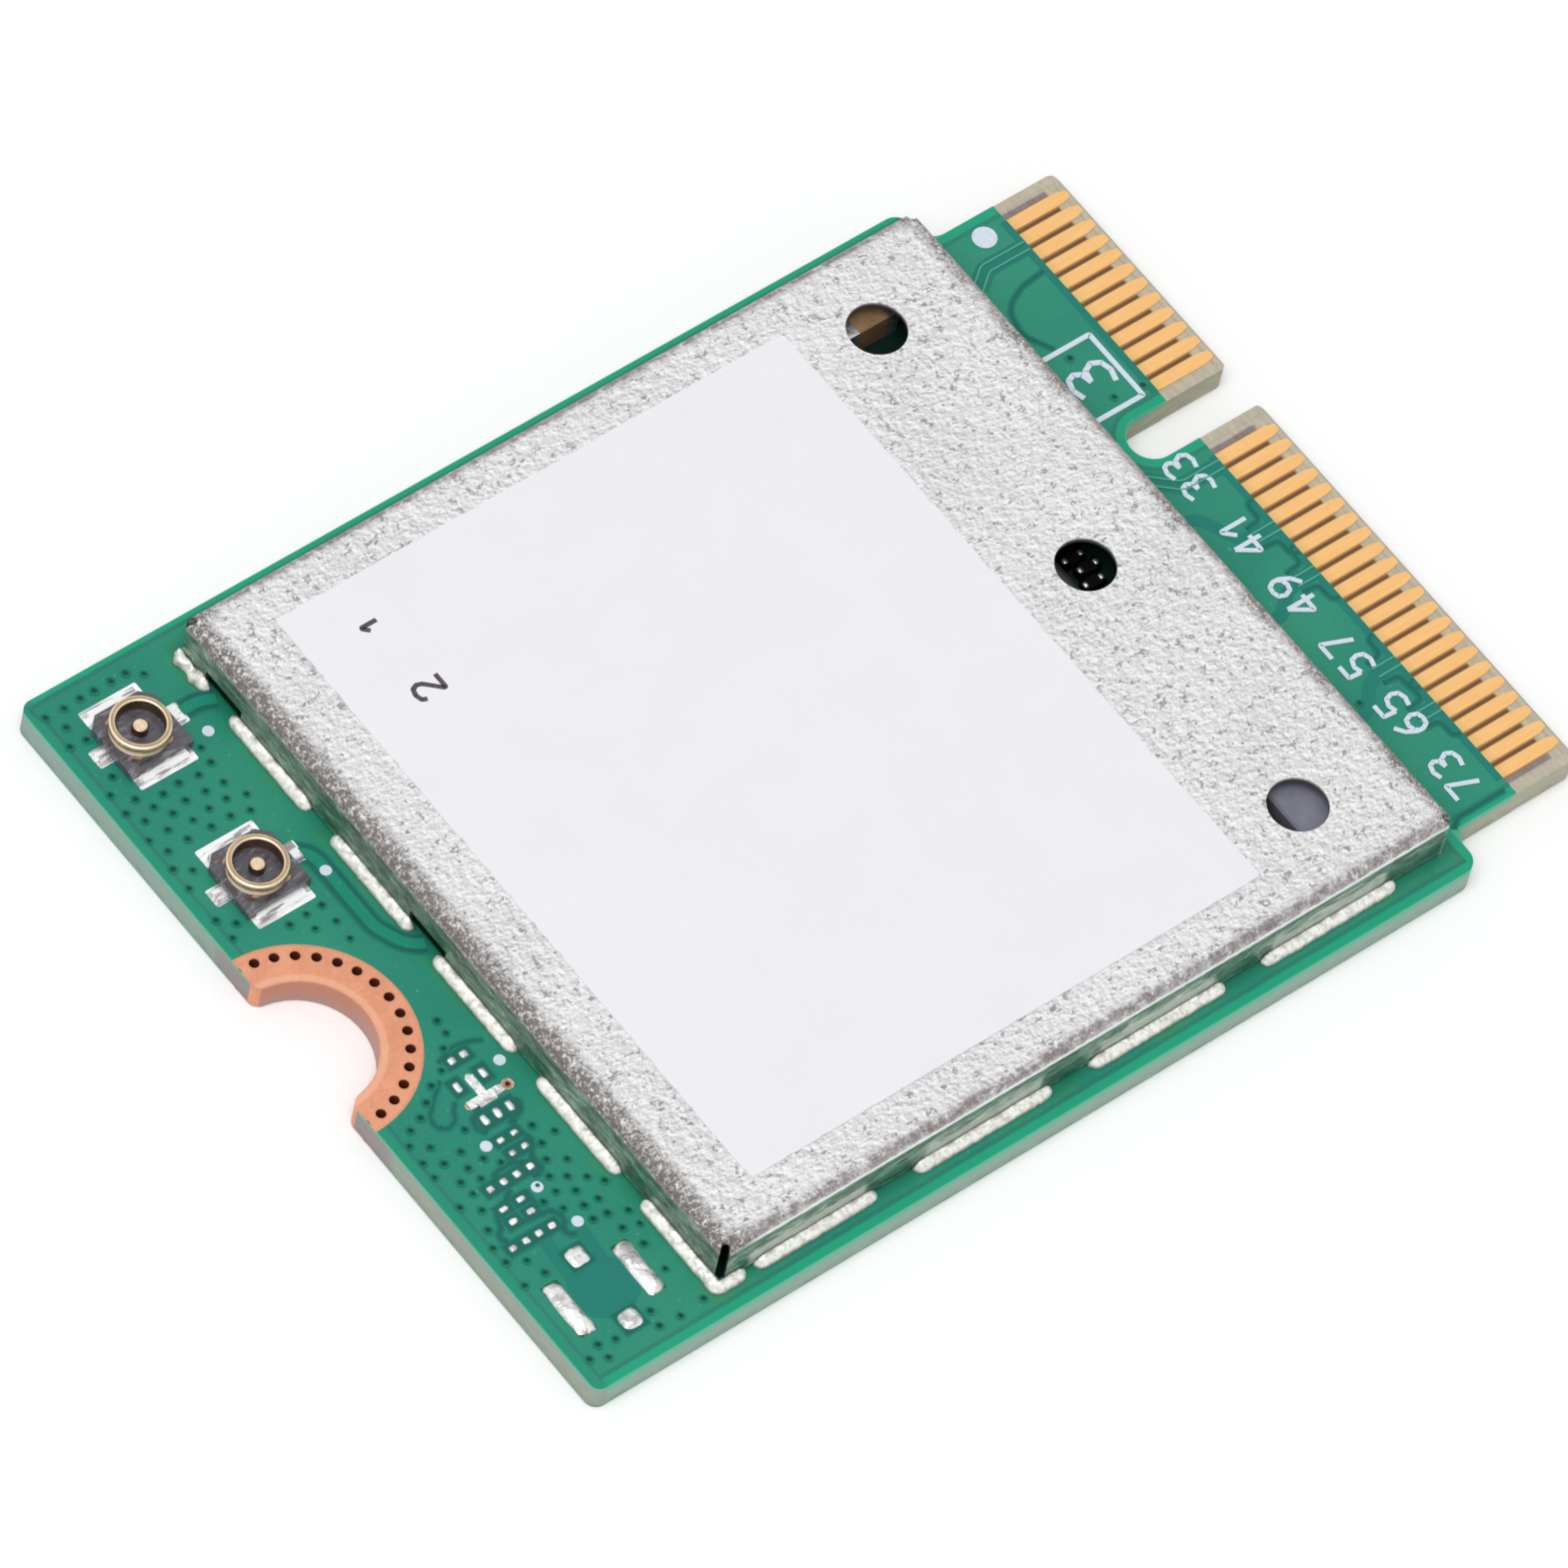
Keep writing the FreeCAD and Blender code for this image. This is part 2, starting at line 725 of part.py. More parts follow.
def receptacle_contact(x, y):
    """The centre contact: a round pin with a flat soldered tail towards the card's end."""
    pin_top = board_top + receptacle_height - pin_top_drop
    tail_top = land_top + tail_thickness
    pin = disc(pin_radius, x, y, land_top, pin_top)
    pin = pin.makeFillet(pin_round, top_edges(pin, pin_top))
    tail = block(x - tail_reach, x, y - tail_width / 2, y + tail_width / 2, land_top, tail_top)
    return pin.fuse(tail).removeSplitter()


def receptacle_housing(x, y, shell, contact):
    """The moulded base that holds the shell and the centre contact apart."""
    half = housing_size / 2
    chamfer = housing_chamfer
    corners = [
        (x - half, y - half, 0),
        (x + half, y - half, 0),
        (x + half, y + half - chamfer, 0),
        (x + half - chamfer, y + half, 0),
        (x - half + chamfer, y + half, 0),
        (x - half, y + half - chamfer, 0),
    ]
    base = rounded_prism(corners, land_top, board_top + housing_height)
    return base.cut(shell).cut(contact)


def chip_passive(x, y, length, width, height, along_x):
    """A chip capacitor or resistor: its body, and its two end terminals."""
    cap = terminal_length_ratio * length
    stops = (-length / 2, -length / 2 + cap, length / 2 - cap, length / 2)
    pieces = []
    for a, b in zip(stops[:-1], stops[1:]):
        if along_x:
            pieces.append(block(x + a, x + b, y - width / 2, y + width / 2,
                                board_top, board_top + height))
        else:
            pieces.append(block(x - width / 2, x + width / 2, y + a, y + b,
                                board_top, board_top + height))
    return pieces[1], [pieces[0], pieces[2]]


def make_capacitors():
    """Capacitors: one large one and a bank under the holes, and a bank beside the radio chip."""
    bodies = []
    terminals = []
    large_x = hole_x - hole_capacitor_lead + large_passive_length / 2
    large_y = hole_y + hole_capacitor_offset + large_passive_width / 2
    placed = [(large_x, large_y, large_passive_length, large_passive_width, large_passive_width)]
    bank_x = hole_x + small_passive_length * 0.8
    for i in range(hole_bank_count):
        stagger = small_passive_length * 0.25 * (i % 2)
        y = small_passive_pitch * (i - (hole_bank_count - 1) / 2 + 0.1)
        placed.append((bank_x + stagger, y, small_passive_length, small_passive_width,
                       small_passive_width))
    for i in range(radio_bank_count):
        y = radio_bank_pitch * (i - (radio_bank_count - 1) / 2)
        placed.append((capacitor_bank_x, y, small_passive_length, small_passive_width, small_passive_width))
    for x, y, length, width, height in placed:
        body, ends = chip_passive(x, y, length, width, height, True)
        bodies.append(body)
        terminals.extend(ends)
    return group(bodies), group(terminals)


def make_resistors():
    """A row of resistors in the corner towards the screw notch."""
    bodies = []
    terminals = []
    y = -room_y + resistor_wall_inset
    for i in range(resistor_count):
        x = room_x0 + resistor_inset + i * resistor_pitch
        body, ends = chip_passive(x, y, resistor_length, resistor_width, resistor_height, False)
        bodies.append(body)
        terminals.extend(ends)
    return group(bodies), group(terminals)


def make_crystal():
    """The clock crystal: a ceramic base and the metal lid on it."""
    x = room_x1 - crystal_share_along * room_length
    y = room_y - crystal_wall_inset
    base = rounded_block(x, y, crystal_length, crystal_width, 0.2,
                         board_top, board_top + crystal_base_height)
    lid_low = board_top + crystal_base_height
    lid = rounded_block(x, y, crystal_length - 2 * crystal_lid_margin,
                        crystal_width - 2 * crystal_lid_margin, 0.3,
                        lid_low, lid_low + crystal_lid_height)
    return base, lid


os.makedirs("parts", exist_ok=True)
nodes = {}

nodes["screw_land"] = make_screw_land()
nodes["contacts_top"] = make_contacts(1, bare_top, board_top)
nodes["contacts_bottom"] = make_contacts(2, 0, bare_bottom)
nodes["receptacle_lands"] = make_receptacle_lands()
nodes["bare_lands"] = make_bare_lands()
nodes["test_lands"] = make_test_lands()
inlay_names = ("screw_land", "receptacle_lands", "bare_lands", "test_lands")
nodes["board"] = make_board(group([nodes[name] for name in inlay_names]))

nodes["shield_can"] = make_shield()
nodes["shield_solder"] = make_shield_solder()
nodes["label"] = make_label()

for i, y in enumerate(receptacle_ys):
    prefix = "receptacle_%d_" % (i + 1)
    shell = receptacle_shell(receptacle_x, y)
    contact = receptacle_contact(receptacle_x, y)
    nodes[prefix + "shell"] = shell
    nodes[prefix + "contact"] = contact
    nodes[prefix + "housing"] = receptacle_housing(receptacle_x, y, shell, contact)

nodes["radio_chip"] = package(radio_x, 0, radio_size, radio_size, radio_height, radio_chamfer)
front_end_x = (room_x0 + capacitor_bank_x - small_passive_length / 2) / 2
for i, gap in enumerate(front_end_gaps):
    nodes["front_end_module_%d" % (i + 1)] = package(
        front_end_x, end_gap_centre(gap),
        front_end_length, front_end_width, front_end_height, package_chamfer)
band_filter_x = room_x0 + filter_inset
switch_x = band_filter_x + filter_length / 2 + switch_filter_gap + switch_length / 2
for i, gap in enumerate(signal_doors):
    nodes["band_filter_%d" % (i + 1)] = package(
        band_filter_x, end_gap_centre(gap), filter_length, filter_width, filter_height, package_chamfer)
    nodes["antenna_switch_%d" % (i + 1)] = package(
        switch_x, end_gap_centre(gap), switch_length, switch_width, switch_height, package_chamfer)
power_x = hole_x - power_chip_hole_overlap + power_chip_size / 2
nodes["power_chip"] = package(power_x, -hole_y, power_chip_size, power_chip_size,
                              power_chip_height, package_chamfer)
nodes["memory_chip"] = package(room_x1 - memory_share_along * room_length, room_y - memory_wall_inset,
                               memory_length, memory_width, memory_height, package_chamfer)
for i in range(inductor_count):
    nodes["power_inductor_%d" % (i + 1)] = package(
        room_x1 - inductor_inset - i * inductor_pitch, -room_y + inductor_wall_inset,
        inductor_length, inductor_width, inductor_height, inductor_chamfer)
nodes["crystal_base"], nodes["crystal_lid"] = make_crystal()
nodes["capacitor_bodies"], nodes["capacitor_terminals"] = make_capacitors()
nodes["resistor_bodies"], nodes["resistor_terminals"] = make_resistors()

for name, shape in nodes.items():
    shape.exportStep("parts/%s.step" % name)
    print(name, len(shape.Solids), "solids", round(shape.Volume, 4), "mm3", shape.isValid())
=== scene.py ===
import json
import logging
import math
from collections.abc import Callable, Sequence
from dataclasses import dataclass, replace
from enum import Enum
from typing import Union

import bmesh
import bpy
from mathutils import Matrix, Vector, noise

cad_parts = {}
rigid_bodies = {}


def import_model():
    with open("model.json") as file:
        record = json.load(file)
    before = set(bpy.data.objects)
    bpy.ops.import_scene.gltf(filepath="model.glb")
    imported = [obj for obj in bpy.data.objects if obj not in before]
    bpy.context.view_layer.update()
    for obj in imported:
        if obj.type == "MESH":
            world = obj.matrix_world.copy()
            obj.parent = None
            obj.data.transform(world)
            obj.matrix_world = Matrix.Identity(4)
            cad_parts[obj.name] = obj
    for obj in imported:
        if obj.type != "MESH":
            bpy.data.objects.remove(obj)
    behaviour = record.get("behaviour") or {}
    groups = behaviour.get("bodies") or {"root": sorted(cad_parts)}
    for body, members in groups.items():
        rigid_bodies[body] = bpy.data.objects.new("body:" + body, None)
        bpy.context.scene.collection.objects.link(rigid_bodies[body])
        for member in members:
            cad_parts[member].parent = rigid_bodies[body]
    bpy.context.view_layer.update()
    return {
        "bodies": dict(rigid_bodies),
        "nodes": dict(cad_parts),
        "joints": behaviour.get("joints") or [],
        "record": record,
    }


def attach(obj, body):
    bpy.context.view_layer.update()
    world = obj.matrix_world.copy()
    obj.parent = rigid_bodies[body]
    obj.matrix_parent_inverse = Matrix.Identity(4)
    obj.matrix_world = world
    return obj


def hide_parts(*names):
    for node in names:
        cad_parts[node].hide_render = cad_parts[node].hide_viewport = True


# Sizes are in millimetres in the card's own frame: X runs towards the contact tongue, Y towards
# contact 1 and Z up from the underside. Colours are linear. A finish builds its colour in layers,
# each with the share from 0 to 1 that it covers.

LOG = logging.getLogger("card")
MM = 0.001
BODY = "root"
COAT_Z = 0.80
CONTACT_PITCH = 0.50
CAN_LOW_X, CAN_HIGH_X, CAN_HALF_Y = -10.97, 10.67, 10.25
BELOW_HOLE_LOW_X, BELOW_HOLE_HALF_Y = 6.5, 1.3
TEE_RING = (-11.705, -3.363)
DOT_REACH = "reach"  # the attribute with how far a dot's vertex is from its centre
FLAT_SHARE = 0.4  # how much of a soft line's half width is fully on
MERGE = 1e-4  # vertices nearer than this are one
FACING_UP = 0.9  # the least rise of an upper face's normal

Colour = tuple[float, float, float]
Point = tuple[float, float]
Lines = Sequence[Sequence[Point]]
Groups = dict[Point, Lines]
Term = Union["Wire", float, int, Colour]


class Slot(str, Enum):
    """The record's material slots, one listed for each kind of added piece."""

    LAMINATE = "coated_laminate"
    SOLDER = "solder"
    TINNED = "tinned_land"
    LABEL = "label_paper"


class CoatPart(Enum):
    """What part of the coated board a finish is for."""

    BOARD = "board"
    CLEARANCE = "clearance"
    OUTLINE = "outline"
    TRACK = "track"
    FINE_TRACK = "fine track"
    COVERED_VIA = "covered via"


def operator(operation: str, turned: bool = False) -> Callable[..., "Wire"]:
    """Makes the method for one operator.

    Args:
        operation: the Math node's operation.
        turned: whether the other value comes first, as in 1 - mask.

    Returns:
        A method that adds the node.
    """
    def method(self: "Wire", *others: Term) -> "Wire":
        return self.math(operation, *((*others, self) if turned else (self, *others)))
    return method


class Wire:
    """One node socket, so that maths on it is written as a Python expression."""

    __add__, __radd__ = operator("ADD"), operator("ADD", turned=True)
    __sub__, __rsub__ = operator("SUBTRACT"), operator("SUBTRACT", turned=True)
    __mul__, __rmul__ = operator("MULTIPLY"), operator("MULTIPLY", turned=True)
    __truediv__, __rtruediv__ = operator("DIVIDE"), operator("DIVIDE", turned=True)
    __gt__, __lt__ = operator("GREATER_THAN"), operator("LESS_THAN")
    __abs__, fract, root = operator("ABSOLUTE"), operator("FRACT"), operator("SQRT")
    low, high = operator("MINIMUM"), operator("MAXIMUM")

    def __init__(self, graph: "Graph", socket: bpy.types.NodeSocket) -> None:
        """Keeps the graph that the socket belongs to."""
        self.graph = graph
        self.socket = socket

    def math(self, operation: str, *terms: Term) -> "Wire":
        """Adds one Math node.

        Args:
            operation: the Math node's operation.
            terms: its values in order.

        Returns:
            The node's output.
        """
        values = dict(enumerate(terms))
        return self.graph.take(self.graph.node("ShaderNodeMath", {"operation": operation}, values))

    def step(self, start: Term, end: Term) -> "Wire":
        """A smooth rise from 0 at start to 1 at end."""
        return self.graph.take(self.graph.node(
            "ShaderNodeMapRange", {"interpolation_type": "SMOOTHSTEP"},
            {"Value": self, "From Min": start, "From Max": end}))

    def fall(self, start: Term, end: Term) -> "Wire":
        """A smooth fall from 1 at start to 0 at end."""
        return 1 - self.step(start, end)

    def line(self, centre: float, half: float) -> "Wire":
        """1 at centre and 0 from half away on, with soft sides."""
        return abs(self - centre).fall(half * FLAT_SHARE, half)

    def span(self, other: "Wire") -> "Wire":
        """The distance that two wires at right angles make."""
        return (self * self + other * other).root()

    def beside(self, pitch: float, origin: float = 0.0) -> "Wire":
        """How far a value is from the nearest step of a pitch.

        Args:
            pitch: the size of a step.
            origin: where one of the steps is.

        Returns:
            The distance, from 0 to half a pitch.
        """
        return abs(((self - origin) / pitch + 0.5).fract() - 0.5) * pitch


@dataclass(frozen=True)
class Place:
    """Where a shaded point is on the card, and the patterns there."""

    point: Wire
    x: Wire
    y: Wire
    z: Wire

    def reach(self, centre: Point) -> Wire:
        """How far it is from an upright axis."""
        return (self.x - centre[0]).span(self.y - centre[1])

    def inside(self, low_x: float, high_x: float, half_y: float) -> Wire:
        """How far it is inside a rectangle round the X axis."""
        return (self.x - low_x).low(high_x - self.x).low(half_y - abs(self.y))

    def below_hole(self) -> Wire:
        """1 where it is below the shield's middle hole, where deep shade is painted."""
        return (abs(self.y) < BELOW_HOLE_HALF_Y) * (self.x > BELOW_HOLE_LOW_X)

    def drawn(self, *factors: float) -> "Place":
        """The same place with its patterns finer along each axis by a factor."""
        return replace(self, point=self.point.graph.vector("MULTIPLY", self.point, factors))

    def noise(self, scale: float, detail: float = 2.0, rough: float = 0.5) -> Wire:
        """Soft random values round 0.5.

        Args:
            scale: patches per millimetre.
            detail: how many finer layers are added.
            rough: how strong the finer layers are.

        Returns:
            The value from 0 to 1.
        """
        return self.point.graph.take(self.point.graph.node("ShaderNodeTexNoise", values={
            "Vector": self.point, "Scale": scale, "Detail": detail, "Roughness": rough}))

    def carved(self, scale: float, shift: float, detail: float = 3.0, rough: float = 0.55) -> Wire:
        """Painted light and shade for a fine relief: two readings of one noise, a little apart.

        Args:
            scale: patches per millimetre.
            shift: how far apart the readings are, in millimetres.
            detail: how many finer layers are added.
            rough: how strong the finer layers are.

        Returns:
            The difference, round 0.
        """
        moved = self.point.graph.vector("ADD", self.point, (shift, shift * 0.6, 0.0))
        return (replace(self, point=moved).noise(scale, detail, rough)
                - self.noise(scale, detail, rough))


def titled(key: str) -> str:
    """A socket's name from a keyword, which has _ for a space."""
    return key.replace("_", " ").title().replace("Ior", "IOR")


class Graph:
    """A node tree that is filled from Python."""

    def __init__(self, tree: bpy.types.NodeTree) -> None:
        """Keeps the tree."""
        self.tree = tree

    @classmethod
    def cleared(cls, owner: bpy.types.Material | bpy.types.World) -> "Graph":
        """The emptied tree of a material or a world."""
        owner.use_nodes = True
        owner.node_tree.nodes.clear()
        return cls(owner.node_tree)

    def plug(self, socket: bpy.types.NodeSocket, value: object) -> None:
        """Links something to a socket, or sets the socket's own value.

        Args:
            socket: the input to fill.
            value: a wire, a node for its first output, or a plain value. A colour of three
                numbers gets a full alpha.
        """
        if isinstance(value, Wire):
            self.tree.links.new(value.socket, socket)
        elif isinstance(value, bpy.types.Node):
            self.tree.links.new(value.outputs[0], socket)
        elif socket.type == "RGBA" and len(value) == 3:
            socket.default_value = (*value, 1.0)
        else:
            socket.default_value = value

    def node(self, kind: str, settings: dict[str, object] | None = None,
             values: dict[object, object] | None = None) -> bpy.types.Node:
        """Adds any node.

        Args:
            kind: the node's type.
            settings: its properties, which are set first.
            values: the values or links of its inputs, by name or by number.

        Returns:
            The node.
        """
        node = self.tree.nodes.new(kind)
        for key, value in (settings or {}).items():
            setattr(node, key, value)
        for key, value in (values or {}).items():
            self.plug(node.inputs[key], value)
        return node

    def take(self, node: bpy.types.Node, output: object = 0) -> Wire:
        """A node's output as a wire."""
        return Wire(self, node.outputs[output])

    def vector(self, operation: str, first: Wire, second: Colour) -> Wire:
        """Adds one Vector Math node."""
        return self.take(self.node(
            "ShaderNodeVectorMath", {"operation": operation}, {0: first, 1: second}))

    def place(self) -> Place:
        """The shaded point in the card's frame, in millimetres."""
        raw = self.take(self.node("ShaderNodeTexCoord"), "Object")
        point = self.vector("MULTIPLY", raw, (1 / MM, 1 / MM, 1 / MM))
        parts = self.node("ShaderNodeSeparateXYZ", values={0: point})
        return Place(point, *(self.take(parts, axis) for axis in range(3)))

    def layers(self, colour: Term, *covers: tuple[Term, Term]) -> Wire:
        """A colour with others laid over it in turn.

        Args:
            colour: the lowest colour.
            covers: the share from 0 to 1 that each next colour covers, and that colour.

        Returns:
            The mixed colour.
        """
        for share, cover in covers:
            colour = self.take(self.node(
                "ShaderNodeMix", {"data_type": "RGBA"}, {0: share, 6: colour, 7: cover}), 2)
        return colour

    def bump(self, height: Wire, depth: float, below: Wire | None = None) -> Wire:
        """A relief in the surface.

        Args:
            height: 0 to 1 over the surface.
            depth: the relief's full depth in millimetres.
            below: a relief that it is added to.

        Returns:
            The normal.
        """
        values = {"Height": height, "Distance": depth * MM, "Strength": 1.0}
        if below is not None:
            values["Normal"] = below
        return self.take(self.node("ShaderNodeBump", values=values))

    def surface(self, **values: object) -> None:
        """Ends the tree in one Principled shader, whose inputs are named by keywords."""
        named = {titled(key): value for key, value in values.items()}
        shader = self.node("ShaderNodeBsdfPrincipled", values=named)
        self.node("ShaderNodeOutputMaterial", values={"Surface": shader})

    def seen(self) -> Wire:
        """1 for rays that show a thing itself, and 0 for those that only carry its light."""
        rays = self.node("ShaderNodeLightPath")
        camera, glossy, through = (self.take(rays, f"Is {kind} Ray")
                                   for kind in ("Camera", "Glossy", "Transmission"))
        return camera.high(glossy).high(through)


@dataclass(frozen=True)
class Finish:
    """What every finish has: a name and a way to paint a tree."""

    name: str

    def tinted(self, graph: Graph, at: Place, colour: Wire) -> Wire:
        """The colour with what only this finish adds, here nothing."""
        return colour

    def paint(self, graph: Graph, at: Place) -> None:
        """Fills the material's tree."""
        raise NotImplementedError

    def material(self) -> bpy.types.Material:
        """The finish as a material."""
        material = bpy.data.materials.new(self.name)
        graph = Graph.cleared(material)
        self.paint(graph, graph.place())
        return material


@dataclass(frozen=True)
class Outline:
    """The board's outline, which the coat's edge bands follow."""

    end_x: float = 15.0
    half_width: float = 11.0
    shoulder_x: float = 11.12
    tongue_half: float = 9.925
    tongue_from: float = 6.0
    key_y: float = 2.625
    key_half: float = 0.625
    key_centre_x: float = 12.145
    bare_x: float = 13.10
    middle_z: float = 0.40
    coat_from_middle: float = 0.3708

    def inset(self, at: Place) -> Wire:
        """How far inside the outline a point is."""
        body = at.inside(-self.end_x, self.shoulder_x, self.half_width)
        tongue = at.inside(self.tongue_from, self.end_x, self.tongue_half)
        key = (self.key_centre_x - at.x).high(0.0).span(at.y - self.key_y) - self.key_half
        return body.high(tongue).low(key)


@dataclass(frozen=True)
class LandHoles:
    """The ring of plated holes round the screw notch."""

    centre: Point = (-15.0, 0.0)
    ring: float = 2.44
    count: int = 15
    arc: float = 162.0
    radius: float = 0.125

    def distance(self, at: Place) -> Wire:
        """How far a point is from the nearest hole's axis."""
        turn = at.y.math("ARCTAN2", at.y, at.x - self.centre[0])
        aside = turn.beside(math.radians(self.arc) / (self.count - 1)) * self.ring
        return aside.span(at.reach(self.centre) - self.ring)


@dataclass(frozen=True)
class CoatedLaminate(Finish):
    """Green coat over copper on glass-fibre laminate, bare round the contacts and on the sides."""

    part: CoatPart = CoatPart.BOARD
    outline: Outline = Outline()
    holes: LandHoles = LandHoles()
    pour: Colour = (0.026, 0.258, 0.166)
    pour_deep: Colour = (0.015, 0.216, 0.154)
    fleck: Colour = (0.13, 0.44, 0.32)
    band: Colour = (0.008, 0.345, 0.196)
    band_end: Colour = (0.012, 0.270, 0.168)
    # A painted highlight along the coat's very edge.
    edge: Colour = (0.20, 0.55, 0.38)
    clear: Colour = (0.020, 0.226, 0.178)
    rim: Colour = (0.015, 0.128, 0.098)
    pale: Colour = (0.115, 0.400, 0.275)
    via: Colour = (0.002, 0.058, 0.038)
    flux: Colour = (0.055, 0.270, 0.070)
    # Painted shade beside the can.
    near_can: Colour = (0.010, 0.150, 0.070)
    # Painted shade under the can.
    under_can: Colour = (0.004, 0.012, 0.009)
    # Painted shade in the ringed hole and in the plated holes, over a dark copper tone.
    ring_hole: Colour = (0.045, 0.010, 0.005)
    hole: Colour = (0.16, 0.035, 0.016)
    wall: Colour = (0.345, 0.50, 0.42)
    wall_end: Colour = (0.295, 0.43, 0.375)
    wall_grey: Colour = (0.365, 0.42, 0.355)
    wall_mauve: Colour = (0.34, 0.29, 0.295)
    wall_tip: Colour = (0.50, 0.485, 0.37)
    wall_lip: Colour = (0.13, 0.56, 0.40)
    wall_dark: Colour = (0.27, 0.28, 0.23)
    # Darker brown-grey towards the bottom of the side walls.
    wall_dirt: Colour = (0.17, 0.14, 0.11)
    bare: Colour = (0.56, 0.50, 0.38)
    gap: Colour = (0.15, 0.080, 0.042)
    gap_edge: Colour = (0.58, 0.31, 0.115)
    side: Colour = (0.27, 0.23, 0.24)
    can: Colour = (-10.85, 10.55, 10.13)
    cover_share: float = 0.94
    ring_radius: float = 0.12
    holes_from: float = -14.80
    notch_end: Point = (-14.72, -14.62)
    grey_end: Point = (-4.0, -2.0)
    mauve_half: Point = (3.05, 3.60)
    tip_start: Point = (11.3, 11.9)
    lip_end: Point = (12.9, 13.1)
    band_width: Point = (0.205, 0.262)
    wide_band: Point = (10.3, 10.6)
    gap_end: Point = (14.40, 14.50)
    field_half: float = 9.45
    key_field: Point = (1.45, 3.85)
    pocket: Point = (0.76, 0.7712)
    rough: float = 0.72

    def coat(self, graph: Graph, at: Place) -> Wire:
        """The coat over copper, with slow and fine variation."""
        return graph.layers(
            self.pour,
            (at.noise(0.30, 1.0).step(0.30, 0.70), self.pour_deep),
            (at.noise(9.0, 4.0, 0.7).step(0.30, 0.75) * 0.30, self.band),
            (at.noise(7.5, 2.0, 0.6).step(0.68, 0.74) * 0.55, self.fleck))

    def face(self, graph: Graph, at: Place, wobble: Wire, notch_end: Wire) -> Wire:
        """The coated face: its edge band with a painted highlight at the very edge, the flux beside
        the can, and painted shade beside and under the can.
        """
        inset = self.outline.inset(at)
        reach = inset + wobble + at.y.step(*self.wide_band) * 0.10
        from_can = 0 - at.inside(*self.can)
        glow = from_can.line(0.42, 0.16) * at.noise(0.9, 3.0, 0.6).step(0.48, 0.62)
        shade = (from_can + (at.noise(1.3) - 0.5) * 0.3).fall(0.10, 0.55)
        covered = (from_can < 0.0) * (at.z > self.outline.middle_z)
        return graph.layers(
            self.coat(graph, at),
            (reach.line(0.285, 0.090) * 0.42, self.rim),
            (glow * 0.35, self.flux),
            # Painted shade beside the can.
            (shade * 0.50, self.near_can),
            (reach.fall(*self.band_width), graph.layers(self.band, (notch_end, self.band_end))),
            # A painted highlight along the coat's very edge.
            (inset.fall(0.0, 0.035) * 0.4, self.edge),
            # Painted shade under the can.
            (covered * self.cover_share, self.under_can))

    def walls(self, graph: Graph, at: Place, wobble: Wire, notch_end: Wire) -> Wire:
        """The cut laminate on the board's sides."""
        weave = at.drawn(2.0, 2.0, 16.0).noise(1.0, 3.0, 0.6).step(0.32, 0.68)
        lip = (at.z + wobble * 3.0).step(0.56 + 0.10 * notch_end, 0.67 + 0.09 * notch_end)
        return graph.layers(
            self.wall,
            (notch_end, self.wall_end),
            (at.x.step(*self.tip_start), self.wall_tip),
            (notch_end * at.y.fall(*self.grey_end), self.wall_grey),
            (notch_end * abs(at.y).fall(*self.mauve_half) * 0.9, self.wall_mauve),
            (weave * 0.30, self.wall_dark),
            # Darker brown-grey towards the bottom of the side walls.
            (at.z.fall(0.05, 0.35) * weave * 0.35, self.wall_dirt),
            (lip * at.x.fall(*self.lip_end) * 0.9, self.wall_lip))

    def tongue(self, graph: Graph, at: Place, wobble: Wire) -> Wire:
        """The bare laminate between and round the contacts."""
        cloth = at.drawn(9.0, 3.0, 1.0).noise(1.0, 3.0, 0.6).step(0.3, 0.7) * 0.35
        tip = graph.layers(self.bare, (cloth, self.wall_dark))
        key_low, key_high = self.key_field
        beside_key = (at.y - key_low).low(key_high - at.y)
        from_field = (abs(at.y) - self.field_half).high(beside_key)
        return graph.layers(
            self.gap,
            (at.y.beside(CONTACT_PITCH).step(0.036, 0.060) * 0.85, self.gap_edge),
            (from_field.step(0.0, 0.02), graph.layers(self.side, (cloth, self.gap))),
            ((from_field + wobble).step(0.12, 0.20), tip),
            ((at.x + wobble).step(*self.gap_end), tip))

    def board(self, graph: Graph, at: Place) -> Wire:
        """The whole board: coated faces, walls and the bare tongue."""
        wobble = (at.noise(2.2) - 0.5) * 0.03
        notch_end = at.x.fall(*self.notch_end)
        from_middle = abs(at.z - self.outline.middle_z)
        uncoated = at.x > self.outline.bare_x + 0.004
        bare_face = uncoated * (from_middle > self.outline.coat_from_middle - 0.004)
        coated = (from_middle > self.outline.coat_from_middle) * (1 - uncoated)
        low, high = self.pocket
        pocket = (at.z > low) * (at.z < high) * (self.outline.inset(at) > 0.3) * (1 - uncoated)
        in_hole = self.holes.distance(at).fall(self.holes.radius + 0.004, self.holes.radius + 0.02)
        return graph.layers(
            self.walls(graph, at, wobble, notch_end),
            (bare_face, self.tongue(graph, at, wobble)),
            (coated, self.face(graph, at, wobble, notch_end)),
            (pocket, self.rim),
            # Painted shade in the ringed hole and in the plated holes.
            (at.reach(TEE_RING) < self.ring_radius, self.ring_hole),
            (in_hole * (at.x > self.holes_from), self.hole))

